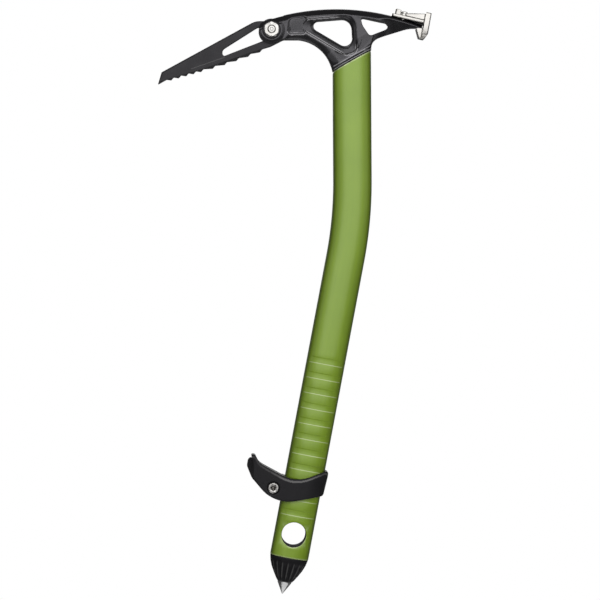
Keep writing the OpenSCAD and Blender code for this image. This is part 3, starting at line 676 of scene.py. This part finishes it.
# head: cast body with a rounded rail, stepped borders and a tail that leans under
head = {
    "voxel": 0.42 * mm, "passes": 3, "lastPasses": 2, "archPasses": 6, "tenonLeft": 6 * mm,
    "railCentre": seamCentre + Vector((-13, 0, -150)) * mm, "railRadius": 195 * mm, "railLow": 188.5,
    "railHalf": 5.7 * mm, "railRound": Vector((5.4, 7)) * mm, "railPower": 1.5,
    # corners seen from the seam's centre, in millimetres: across, up, radius
    "window": [(-41.4, 33, 4), (-0.5, 36.2, 8), (0.9, 8.1, 6.5)],
    "panel": [(-52.9, 34, 5.5), (1.7, 38.3, 9), (3.6, 0.7, 6)],
    "pocket": [(-54.1, 23.6, 2.5), (-52.2, 36.4, 3.5), (-39.4, 37.6, 2), (-40.4, 24, 2)],
    # half thickness by the share of the way from the window to the panel's outline, by the distance past
    # that outline, and by the distance past the pocket's
    "floorSteps": [(0, 2), (0.2, 2.1), (0.36, 2.9), (0.96, 4.1), (1, 4.15)],
    "panelSteps": [(-0.2, 4.15), (0.55, 4.35), (1, 5.1), (2, 5.36), (2.4, 5.5)],
    "pocketSteps": [(-1.2, 4.5), (-0.2, 4.62), (0.6, 4.9), (1.4, 5.45), (1.8, 5.5)],
    "pocketLean": 0.13, "pocketMiddle": 31, "pocketFade": 2, "pocketReach": 2.5,
    "windowEdge": 0.4, "floorAtWindow": 4.4, "recess": (3.2, 5.45), "recessReach": 7.5,
    "archCentre": Vector((-48.5, -13.9)), "archRadius": 32.5, "archEdge": 1.4,
    "archRoll": (8, 0.45, 5),  # width, share, and fade past the boss
    "flareFoot": (9.95, 2.2), "flareTop": 14.9,
    "bossFlat": 7.8, "bossEnd": 12.4, "bossHalf": 6.8, "bossLow": 5.6,
    # lip along the seam: height above the seam, and how far the skin moves out there
    "lip": [(-0.5, -0.6), (0, -0.6), (1.7, 0.2), (2.1, 0.1), (3, -0.4), (5, 0)], "lipInside": 5.6,
    "tailSpot": seamCentre + Vector((34.4, 0, 40.95)) * mm, "tailLean": radians(14.5),
    "tailHalf": 4.8, "webHalf": 5.5, "saddle": 2.4, "tailBlend": 11,
    "tailUndercut": tan(radians(14)), "tailEnd": 26.7, "tailFade": 2, "tailReach": 1,
    # painted highlight lines, where the step edges past the panel's and the pocket's outlines and above the
    # seam catch the light
    "highlightLevel": 1.1, "wearAndHighlight": [(-0.3, 0.45), (1.15, 1.9)], "highlightClear": (1, 1.5),
    "highlightPocket": [(-0.9, -0.3), (1.1, 1.7)], "highlightPocketTop": 25,
    "highlightSeam": [(1.1, 1.7), (3.3, 4)], "highlightSeamReach": 17,
    "highlightEnd": (-9, 16), "highlightFade": 4,  # the panel's lines fade out towards this place, across and up
    "railPolish": 1.5, "tailPolish": (30, 6),  # the rail and the tail are smoother
}
tailTurn = Matrix.Rotation(head["tailLean"], 4, "Y")
tailPlace = Matrix.Translation(head["tailSpot"]) @ tailTurn @ inMillimetres  # X along the tail, Z up
intoTail = tailPlace.inverted()


def roundedOutline(corners):  # straight stretches and corner circles of an outline
    rounds = []
    for index, (x, z, radius) in enumerate(corners):
        tip = Vector((x, z))
        back, ahead = ((Vector(corners[other % len(corners)][:2]) - tip).normalized()
                       for other in (index - 1, index + 1))
        half = back.angle(ahead) / 2
        run = radius / tan(half)
        rounds.append((tip + back * run, tip + ahead * run,
                       tip + (back + ahead).normalized() * radius / sin(half), radius))
    stretches = [(rounds[index - 1][1], rounds[index][0]) for index in range(len(rounds))]
    return stretches, [(centre, radius) for start, end, centre, radius in rounds]


def outlineReach(outline, spot):  # distance from an outline, less than 0 inside it
    stretches, circles = outline
    inside = all((end - start).cross(spot - start) < 0 for start, end in stretches)
    reach = inf
    for start, end in stretches:
        run = end - start
        share = (spot - start).dot(run) / run.length_squared
        if 0 <= share <= 1:
            reach = min(reach, (spot - start - run * share).length)
    corners = [(spot - centre).length - radius for index, (centre, radius) in enumerate(circles)
               if not inside or beyond(outline, index, spot)]
    if inside:
        return corners[0] if corners else -reach
    return min(corners + [reach])


def beyond(outline, index, spot):  # whether a place lies in the wedge of a corner's circle
    stretches, circles = outline
    centre = circles[index][0]
    first = stretches[index][1] - centre
    second = stretches[(index + 1) % len(stretches)][0] - centre
    arm = spot - centre
    return first.cross(arm) <= 0 and second.cross(arm) >= 0


headLines = [roundedOutline(head[name]) for name in ("window", "panel", "pocket")]


def headReaches(spot):  # distances past the window, the panel and the pocket
    return (outlineReach(outline, spot) for outline in headLines)


def stepped(steps, reach):  # height on a profile of straight steps
    for (low, first), (high, second) in zip(steps, steps[1:]):
        if reach < high:
            return between(first, second, max(reach - low, 0) / (high - low))
    return steps[-1][1]


def within(bands, reach):
    return any(low < reach < high for low, high in bands)


def roundBoss(vert):  # domes the round boss under the nut and eases it into the web
    reach = sideSpot(vert, boltSpot).length
    if reach < head["bossEnd"]:
        share = ease((reach - head["bossFlat"]) / (head["bossEnd"] - head["bossFlat"]))
        thinTo(vert, between(head["bossHalf"], head["bossLow"], share))
    return reach


def shapeLip(vert):
    above = aboveSeam(vert) / mm
    out = Vector((vert.co.x - seamCentre.x, vert.co.y, 0))
    if head["lip"][0][0] < above < head["lip"][-1][0] and abs(out.y) > head["lipInside"] * mm:
        vert.co += out.normalized() * stepped(head["lip"], above) * mm


def roundRail(vert):  # rolls the rail's two long edges over
    arm = vert.co - head["railCentre"]
    across = (abs(arm.y) - head["railHalf"]) / head["railRound"].x + 1
    arm.y = 0
    climb = (arm.length - head["railRadius"]) / head["railRound"].y + 1
    shrink = rolled(across, climb, head["railPower"])
    vert.co -= arm.normalized() * climb * shrink * head["railRound"].y
    vert.co.y -= copysign(across * shrink * head["railRound"].x, vert.co.y)


def overRail(vert):  # how far a place is past the rail's lower edge
    return sideSpot(vert, head["railCentre"]).length - head["railLow"]


def archReach(vert):  # distance from the arch's edge
    return (sideSpot(vert, seamCentre) - head["archCentre"]).length - head["archRadius"]


def inRecess(vert):  # below the rail and away from the arch's edge
    return overRail(vert) < 0 and archReach(vert) > head["archEdge"]


def flareOver(vert):  # how far the flare above the seam stands out from the web
    half, foot = head["flareFoot"]
    oval = ovalHalf(vert.co.x - seamCentre.x) * half * 2 / shaft["thick"]
    share = min(max((head["flareTop"] - aboveSeam(vert) / mm) / (head["flareTop"] - foot), 0), 1)
    return max(oval - head["webHalf"], 0) * share


def stepBorder(vert):  # slopes and ledges round the front window and the pocket
    spot = sideSpot(vert, seamCentre)
    half = abs(vert.co.y) / mm
    nearWindow, pastPanel, pastPocket = headReaches(spot)
    start, end = head["panelSteps"][0][0], head["panelSteps"][-1][0]
    if nearWindow < head["windowEdge"]:
        half *= head["floorSteps"][0][1] / head["floorAtWindow"]
    elif nearWindow < head["recessReach"] or pastPocket < head["pocketReach"]:
        if pastPanel < start:
            limit = stepped(head["floorSteps"], nearWindow / (nearWindow - pastPanel + start))
        else:
            flare = flareOver(vert) * ease((pastPanel - start) / (end - start))
            limit = stepped(head["panelSteps"], pastPanel) + flare
        if pastPocket < head["pocketSteps"][-1][0]:
            lean = head["pocketLean"] * (spot.y - head["pocketMiddle"])
            lean *= ease(-pastPocket / head["pocketFade"])
            limit = min(limit, stepped(head["pocketSteps"], pastPocket) + lean)
        low, high = head["recess"]
        sunk = low < half < max(high, limit) and inRecess(vert)
        half = limit if sunk else min(half, limit)
    vert.co.y = copysign(half * mm, vert.co.y)


def leanTail(vert):  # eases the web into the thinner tail, whose sides lean under
    spot = intoTail @ vert.co
    share = ease(spot.x / head["tailBlend"] + 1)
    if share > 0:
        lean = head["tailUndercut"] * share * max(-spot.z - head["saddle"], 0)
        thinTo(vert, between(head["webHalf"], head["tailHalf"], share) - lean)
        grow = head["tailReach"] * ease((spot.x - head["tailEnd"]) / head["tailFade"] + 1) * mm
        vert.co += tailTurn @ Vector((grow, 0, 0))


def rollArch(vert):  # the web rolls off towards the arch, away from the boss
    width, share, fade = head["archRoll"]
    pastBoss = sideSpot(vert, boltSpot).length - head["bossEnd"]
    roll = max(1 - max(archReach(vert), 0) / width, 0) ** 2 * ease(pastBoss / fade)
    vert.co.y *= 1 - share * roll


def highlightShare(vert):  # how far a place on the head's side gets a painted highlight line
    spot = sideSpot(vert, seamCentre)
    nearWindow, pastPanel, pastPocket = headReaches(spot)
    if within(head["highlightPocket"], pastPocket) and spot.y < head["highlightPocketTop"]:
        return 1
    if within(head["highlightSeam"], aboveSeam(vert) / mm) and abs(spot.x) < head["highlightSeamReach"]:
        return 1
    windowGap, pocketGap = head["highlightClear"]
    if within(head["wearAndHighlight"], pastPanel) and nearWindow > windowGap and pastPocket > pocketGap:
        return max(ease((end - at) / head["highlightFade"]) for end, at in zip(head["highlightEnd"], spot))
    return 0


def makeHead():
    skin = nodeSkin("head")
    cutOff(skin, seamCentre - seamNormal * head["tenonLeft"], -seamNormal)
    skin = meltedSkin(skin, head)
    for vert in skin.verts:
        if roundBoss(vert) > head["bossFlat"]:
            roundRail(vert)
        stepBorder(vert)
        leanTail(vert)
        shapeLip(vert)
        rollArch(vert)
    relax(skin, head["lastPasses"])
    relax(skin, head["archPasses"], [vert for vert in skin.verts if abs(archReach(vert)) < head["archEdge"]])
    wear = markEdges(skin, head["voxel"])
    polish = skin.verts.layers.float.new("polish")
    tailStart, tailRun = head["tailPolish"]
    for vert in skin.verts:
        onTail = (sideSpot(vert, seamCentre).x - tailStart) / tailRun
        vert[polish] = ease(max(overRail(vert) / head["railPolish"], onTail))
        # painted highlights along the step lines round the panel, under the pocket and above the seam
        if abs(vert.normal.y) > facing and inRecess(vert):
            share = highlightShare(vert)
            if share:
                vert[wear] = max(vert[wear], head["highlightLevel"] * share)
    finishPiece(skin, "headBody", "head", sharp=89)


makeHead()


# pick: a toothed blade
pick = {
    "voxel": 0.3 * mm, "passes": 2, "lastPasses": 1, "half": 2, "overrun": 0.02,
    # ground edges, seen from the bolt in millimetres: the blade is on the right of each, then width and depth
    "ground": [((-93.2, -35.3), (-13.5, 8.1), 1.3, 0.7), ((-96.4, -45.8), (-93.2, -35.3), 1.3, 0.7),
               ((0.2, -14.9), (-59.8, -35.1), 1.9, 1), ((-59.8, -35.1), (-96.4, -45.8), 1.9, 1)],
    "scribe": ((-68.3, -32.6), (-39.4, -22.6)), "scribeHalf": 0.28, "scribeLighter": 0.5,
}


def lineSpot(start, end, spot):  # share along a line, and the distance to its right
    run = Vector(end) - Vector(start)
    arm = spot - Vector(start)
    return arm.dot(run) / run.length_squared, -run.cross(arm) / run.length


def makePick():
    skin = meltedSkin(nodeSkin("pick"), pick)
    for vert in skin.verts:
        for start, end, width, depth in pick["ground"]:
            share, inside = lineSpot(start, end, sideSpot(vert, boltSpot))
            if -pick["overrun"] < share < 1 + pick["overrun"] and inside < width:
                thinTo(vert, pick["half"] - depth * (1 - max(inside, 0) / width))
    relax(skin, pick["lastPasses"])
    wear = markEdges(skin, pick["voxel"])
    for vert in skin.verts:
        # a thin line along the blade, painted lighter
        share, inside = lineSpot(*pick["scribe"], sideSpot(vert, boltSpot))
        if 0 < share < 1 and abs(inside) < pick["scribeHalf"] and abs(vert.normal.y) > facing:
            vert[wear] = pick["scribeLighter"]
    finishPiece(skin, "pickBlade", "pick")


makePick()


# bolt, nut and washers through the cheeks: radius and height in millimetres, from the middle out
bolt = {
    "radius": 3.1, "seat": 6.7, "nutTop": 11.3, "end": 12.1, "flats": 11.1, "face": 6.15, "cut": 0.5,
    "slope": tan(radians(28)), "dimple": 1.5, "dimpleFloor": 1.1, "dimpleDepth": 0.3,
    "nutHole": 3.15, "washer": 7.3, "washerHole": 3.3, "washerSeat": 5.7,
}
boltPlace = Matrix.Translation(boltSpot) @ towardsCamera @ inMillimetres
boltHex = hexagon(bolt["flats"])


def hexDrop(angle):  # how far the chamfer falls at the hexagon's edge
    return (boltHex(angle) - bolt["face"]) * bolt["slope"]


makeTurned("pickBolt", "pick_bolt", [[
    (bolt["face"], -bolt["nutTop"]),
    (boltHex, lambda angle: hexDrop(angle) - bolt["nutTop"]),
    (boltHex, -bolt["seat"]),
    (bolt["radius"], -bolt["seat"]),
    (bolt["radius"], bolt["end"] - bolt["cut"]),
    (bolt["radius"] - bolt["cut"], bolt["end"]),
    (bolt["dimple"], bolt["end"]),
    (bolt["dimpleFloor"], bolt["end"] - bolt["dimpleDepth"]),
]], boltPlace, broken=0.12, sides=72)
makeTurned("pickNut", "pick_nut", [[
    (bolt["nutHole"], bolt["nutTop"] - bolt["cut"]),
    (bolt["nutHole"] + bolt["cut"], bolt["nutTop"]),
    (bolt["face"], bolt["nutTop"]),
    (boltHex, lambda angle: bolt["nutTop"] - hexDrop(angle)),
    (boltHex, lambda angle: bolt["seat"] + hexDrop(angle)),
    (bolt["face"], bolt["seat"]),
    (bolt["nutHole"], bolt["seat"]),
]], boltPlace, broken=0.15, bored=True, sides=72)
makeTurned("pickWashers", "pick_washers", [
    washerLayers(bolt["washerHole"], bolt["washer"], side * bolt["washerSeat"], side * bolt["seat"])
    for side in (1, -1)
], boltPlace, broken=0.2, bored=True, sides=64)


# hammer: one casting on the head's tail, with its screw, in the tail's frame in millimetres
hammer = {
    "voxel": 0.3 * mm, "passes": 6,
    # upright edges cut before the casting is softened: lowest and highest place, and width of the cut
    "cuts": [((-0.5, -20, -3), (0.5, 20, 1), 1.2), ((1.7, -20, -3), (2.7, 20, 6), 1.3),
             ((29, -20, -20), (40, 20, 10), 1.1)],
    "upright": 0.9, "cutAngle": 30,
    "draft": (1, 10, 0.075),  # the sides lean in below this depth: depth, reach and share
    "heel": (32.9, -16.6), "heelCut": (1.8, 4.6),  # lower rear corner: along and up
}
hammerScrew = {
    "along": 10.6, "shank": 2, "shankCut": 0.5, "end": -8.6, "seat": 0.4, "head": 3.2, "headCut": 0.5,
    "top": 4.3, "socket": 3.46, "rim": 0.45, "rimDrop": 0.2, "depth": 1.8,
}
screwPlace = tailPlace @ Matrix.Translation((hammerScrew["along"], 0, 0))


def cutHammer(skin):
    joinFlats(skin)
    for low, high, width in hammer["cuts"]:
        chosen = []
        for edge in skin.edges:
            first, second = (intoTail @ vert.co for vert in edge.verts)
            upright = abs((second - first).normalized().z) > hammer["upright"]
            middle = (first + second) / 2
            if (upright and isSharp(edge, hammer["cutAngle"])
                    and all(bottom < at < top for bottom, at, top in zip(low, middle, high))):
                chosen.append(edge)
        bevelEdges(skin, chosen, width * mm, 1)
        print("hammer cut", len(chosen), "edges")
    (along, low), (back, up) = hammer["heel"], hammer["heelCut"]
    cutOff(skin, tailPlace @ Vector((along - back, 0, low)), tailPlace.to_3x3() @ Vector((up, 0, -back)))


def makeHammer():
    skin = nodeSkin("hammer")
    cutHammer(skin)
    bmesh.ops.triangulate(skin, faces=skin.faces)
    # softened level, so that flat faces stay flat
    bmesh.ops.transform(skin, matrix=tailTurn.inverted(), verts=skin.verts)
    skin = meltedSkin(skin, hammer)
    bmesh.ops.transform(skin, matrix=tailTurn, verts=skin.verts)
    depth, reach, share = hammer["draft"]
    for vert in skin.verts:
        vert.co.y *= 1 - share * (max(-(intoTail @ vert.co).z - depth, 0) / reach) ** 2
    markEdges(skin, hammer["voxel"])
    finishPiece(skin, "hammerBody", "hammer")


makeHammer()
makeTurned("hammerScrew", "hammer_screw", [screwLayers(hammerScrew)], screwPlace, broken=0.12)


# ferrule and spike, in the grip's frame
ferrule = {
    "voxel": 0.4 * mm, "passes": 4, "noseTop": -20 * mm, "noseLength": 21.3 * mm, "inside": 5 * mm,
    # flutes and the crests between them, which are painted lighter, by the share of the way down the nose:
    # start, then how far they take to fade in and out
    "flutes": 20, "fluteDepth": 0.9 * mm, "fluteFade": (0.12, 0.25, 0.2), "noseStart": 0.1,
    "crestLighter": 0.62, "crestPower": 3, "crestFade": (0.1, 0.2, 0.3), "crestEnd": 0.98,
}
spike = {
    "tangTop": -12.85, "tang": 4, "tangCut": 0.4, "noseEnd": -41.3, "noseGap": 0.05,
    "collar": 5.9, "collarHeight": 0.7, "tip": -52, "flats": 10.5, "point": 0.04, "land": 0.3,
}


def noseVerts(skin):  # points on the nose's outside: place, share of the way down, angle round it
    for vert in skin.verts:
        spot = intoGrip @ vert.co
        share = (ferrule["noseTop"] - spot.z) / ferrule["noseLength"]
        if ferrule["noseStart"] < share < 1 and hypot(spot.x, spot.y) > ferrule["inside"]:
            yield vert, spot, share, atan2(spot.y / shaft["thick"], spot.x / shaft["width"])


def noseFade(share, start, fadeIn, fadeOut):
    return ease((share - start) / fadeIn) * ease((1 - share) / fadeOut)


def makeFerrule():
    skin = meltedSkin(nodeSkin("spike_ferrule"), ferrule)
    for vert, spot, share, angle in noseVerts(skin):
        dip = ferrule["fluteDepth"] * noseFade(share, *ferrule["fluteFade"])
        dip *= (1 - cos(ferrule["flutes"] * angle)) / 2
        vert.co = gripTurn @ (spot - Vector((spot.x, spot.y, 0)).normalized() * dip)
    wear = markEdges(skin, ferrule["voxel"])
    for vert, spot, share, angle in noseVerts(skin):
        if share < ferrule["crestEnd"]:
            crest = max(cos(ferrule["flutes"] * angle), 0) ** ferrule["crestPower"]
            vert[wear] += ferrule["crestLighter"] * crest * noseFade(share, *ferrule["crestFade"])
    finishPiece(skin, "spikeFerrule", "spike_ferrule")


def makeSpike():
    shoulder = spike["noseEnd"] - spike["collarHeight"]
    landEnd = spike["noseEnd"] - spike["land"]
    facets = hexagon(spike["flats"], pi / 2)  # radius of the six facets at the shoulder

    def scallop(angle):  # where the facets run out on the round collar
        return min(between(spike["tip"], shoulder, spike["collar"] / facets(angle)), landEnd)

    def collar(height):  # the round collar, cut by the facets
        share = (height - spike["tip"]) / (shoulder - spike["tip"])
        return lambda angle: min(spike["collar"], facets(angle) * share)

    makeTurned("spikeTip", "spike_tip", [[
        (spike["tang"] - spike["tangCut"], spike["tangTop"]),
        (spike["tang"], spike["tangTop"] - spike["tangCut"]),
        (spike["tang"], spike["noseEnd"] + spike["noseGap"]),
        (collar(spike["noseEnd"]), spike["noseEnd"]),
        (collar(landEnd), scallop),
        (lambda angle: facets(angle) * spike["point"], spike["tip"]),
    ]], gripTurn @ inMillimetres, broken=0.1, sides=64, angle=20, sharp=15)


makeFerrule()
makeSpike()


# pinky rest, with its screw and its clamp
rest = {
    "voxel": 0.4 * mm, "passes": 4, "lastPasses": 2, "bin": 1 * mm,
    "roundAcross": 1.3 * mm, "roundDown": 2.4 * mm,
    "raise": 1.6 * mm, "tip": -45 * mm, "tipFade": 10 * mm,  # raised lip, but not at the hook's tip
    # painted highlight: a band below the top edge, where the rounded edge catches the light, strongest round
    # the middle
    "wearAndHighlight": (1.5 * mm, 3.2 * mm), "highlightLevel": (0.27, 0.55), "highlightMiddle": -6 * mm, "highlightSpread": 15 * mm,
    "washer": 4.85, "washerHole": 2.2, "washerSeat": 8,
}
lever = {"voxel": 0.3 * mm, "passes": 5}
tensionScrew = {
    "shank": 2, "shankCut": 0.4, "end": -14.4, "seat": 8.8, "head": 4.5, "headCut": 0.45, "top": 11.8,
    "socket": 4.2, "rim": 0.55, "rimDrop": 0.25, "depth": 2.4, "drill": (0.2, 4.6),
}
restPlace = Matrix.Translation(screwSpot) @ gripTurn @ towardsCamera @ inMillimetres


def roundRest(skin):  # rolls the two long top edges over, in the grip's frame, and lists the points of the painted highlight band below them
    spots = [intoGrip @ vert.co for vert in skin.verts]
    wearAndHighlight = []
    tops, halves = {}, {}
    for spot in spots:
        step = round(spot.x / rest["bin"])
        tops[step] = max(tops.get(step, spot.z), spot.z)
        halves[step] = max(halves.get(step, 0), abs(spot.y))
    for index, (vert, spot) in enumerate(zip(skin.verts, spots)):
        step = floor(spot.x / rest["bin"])
        share = spot.x / rest["bin"] - step
        following = step + 1 if step + 1 in tops else step
        step = step if step in tops else following
        top = between(tops[step], tops[following], share)
        half = between(halves[step], halves[following], share)
        lift = rest["raise"] * ease((spot.x - rest["tip"]) / rest["tipFade"])
        spot.z += lift * ease((spot.z - top) / rest["roundDown"] + 1)
        top += lift
        # painted highlight band under the rolled top edge
        if rest["wearAndHighlight"][0] < top - spot.z < rest["wearAndHighlight"][1] and abs(spot.y) > half - rest["roundAcross"]:
            spread = exp(-((spot.x - rest["highlightMiddle"]) / rest["highlightSpread"]) ** 2)
            wearAndHighlight.append((index, rest["highlightLevel"][0] + rest["highlightLevel"][1] * spread))
        across = (abs(spot.y) - half) / rest["roundAcross"] + 1
        climb = (spot.z - top) / rest["roundDown"] + 1
        shrink = rolled(across, climb)
        spot.y -= copysign(across * shrink * rest["roundAcross"], spot.y)
        spot.z -= climb * shrink * rest["roundDown"]
        vert.co = gripTurn @ spot
    return wearAndHighlight


def makeRest():
    skin = meltedSkin(nodeSkin("pinky_collar"), rest)
    wearAndHighlight = roundRest(skin)
    relax(skin, rest["lastPasses"])
    wear = markEdges(skin, rest["voxel"])
    skin.verts.ensure_lookup_table()
    for index, share in wearAndHighlight:
        skin.verts[index][wear] = share
    finishPiece(skin, "pinkyCollar", "pinky_collar")


def makeLever():
    skin = meltedSkin(nodeSkin("cam_lever"), lever)
    markEdges(skin, lever["voxel"])
    finishPiece(skin, "camLever", "cam_lever")


def makeBevelled(name, node, broken):  # a small steel piece with its edges broken
    skin = nodeSkin(node)
    joinFlats(skin)
    finishSteel(skin, name, node, broken)


makeRest()
makeLever()
makeTurned("tensionScrew", "tension_screw", [screwLayers(tensionScrew) + [tensionScrew["drill"]]], restPlace,
           broken=0.12)
makeTurned("screwWasher", "screw_washer", [
    washerLayers(rest["washerHole"], rest["washer"], rest["washerSeat"], tensionScrew["seat"])
], restPlace, broken=0.15, bored=True)
makeBevelled("pivotBarrel", "pivot_barrel", broken=0.3)
makeBevelled("wearPlate", "wear_plate", broken=0.15)
makeBevelled("spikePin", "spike_pin", broken=0.25)


# studio: white surround, four soft lamps, a pale floor, and a dark drum that only reflections show
studio = {
    "ambient": 0.3,
    "aim": (0, 0, 0.22),
    "lamps": {
        "key": {"spot": (0.05, -2.33, 1.12), "size": (3.2, 2.6), "power": 52},
        "left": {"spot": (-1.95, -1.4, 1.1), "size": (1.6, 2.4), "power": 6},
        "right": {"spot": (2.0, -1.3, 1.1), "size": (1.6, 2.4), "power": 7},
        "back": {"spot": (0.05, 2.0, 1.75), "size": (3.2, 2.4), "power": 60},
    },
    "flag": {"radius": 3, "low": -3, "high": 3.5, "level": 0.1},
    "floor": {"name": "paleFloor", "radius": 0.62, "height": -0.16, "fade": 0.2, "colour": 0.86,
              "roughness": 0.9, "gloss": 0.1},
}


def makeWorld():
    world = bpy.data.worlds.new("studio")
    scene.world = world
    kit = NodeKit(world)
    path = kit.tree.nodes.new("ShaderNodeLightPath")
    seen = sum((Wire(kit, path.outputs[name]) for name in ("Is Glossy Ray", "Is Transmission Ray")),
               Wire(kit, path.outputs["Is Camera Ray"]))
    backdrop = kit.tree.nodes["Background"]
    backdrop.inputs["Color"].default_value = (1, 1, 1, 1)
    kit.feed(backdrop.inputs["Strength"], rise(kit, seen, 0, 1, studio["ambient"], 1))


def makeLamp(name, look):
    lamp = bpy.data.lights.new(name, "AREA")
    lamp.shape = "RECTANGLE"
    lamp.size, lamp.size_y = look["size"]
    lamp.energy = look["power"]
    holder = bpy.data.objects.new(name, lamp)
    scene.collection.objects.link(holder)
    spot = Vector(look["spot"])
    holder.location = spot
    holder.rotation_euler = (Vector(studio["aim"]) - spot).to_track_quat("-Z", "Y").to_euler()


def makeFlags():
    look = studio["flag"]
    skin = bmesh.new()
    bmesh.ops.create_circle(skin, cap_ends=False, radius=look["radius"], segments=180)
    bmesh.ops.translate(skin, vec=(0, 0, look["low"]), verts=skin.verts)
    verts, edges = growRing(skin, skin.edges[:])
    bmesh.ops.translate(skin, vec=(0, 0, look["high"] - look["low"]), verts=verts)
    bmesh.ops.contextual_create(skin, geom=edges)
    material = bpy.data.materials.new("flagCloth")
    kit = NodeKit(material)
    kit.tree.nodes.remove(kit.tree.nodes["Principled BSDF"])
    glow = kit.add("ShaderNodeEmission", None, {"Color": grey(look["level"]), "Strength": 1})
    kit.feed(kit.tree.nodes["Material Output"].inputs["Surface"], glow)
    flags = makeObject(skin, "flags", material)
    for rays in ("camera", "diffuse", "shadow", "transmission", "volume_scatter"):
        setattr(flags, "visible_" + rays, False)


def paleFloor(kit, look):
    away = distance(kit, place(kit), (1, 1, 0))
    return {
        "Base Color": grey(look["colour"]),
        "Roughness": look["roughness"],
        "Specular IOR Level": look["gloss"],
        "Alpha": rise(kit, away, look["radius"] - look["fade"], look["radius"], 1, 0),
    }


def makeFloor():
    look = studio["floor"]
    skin = bmesh.new()
    bmesh.ops.create_circle(skin, cap_ends=True, radius=look["radius"], segments=128)
    bmesh.ops.translate(skin, vec=(0, 0, look["height"]), verts=skin.verts)
    disc = makeObject(skin, "floor", makeFinish(paleFloor, look))
    disc.visible_glossy = False


makeWorld()
for lampName, lampLook in studio["lamps"].items():
    makeLamp(lampName, lampLook)
makeFlags()
makeFloor()
scene.view_settings.view_transform = "Standard"
print("studio set")
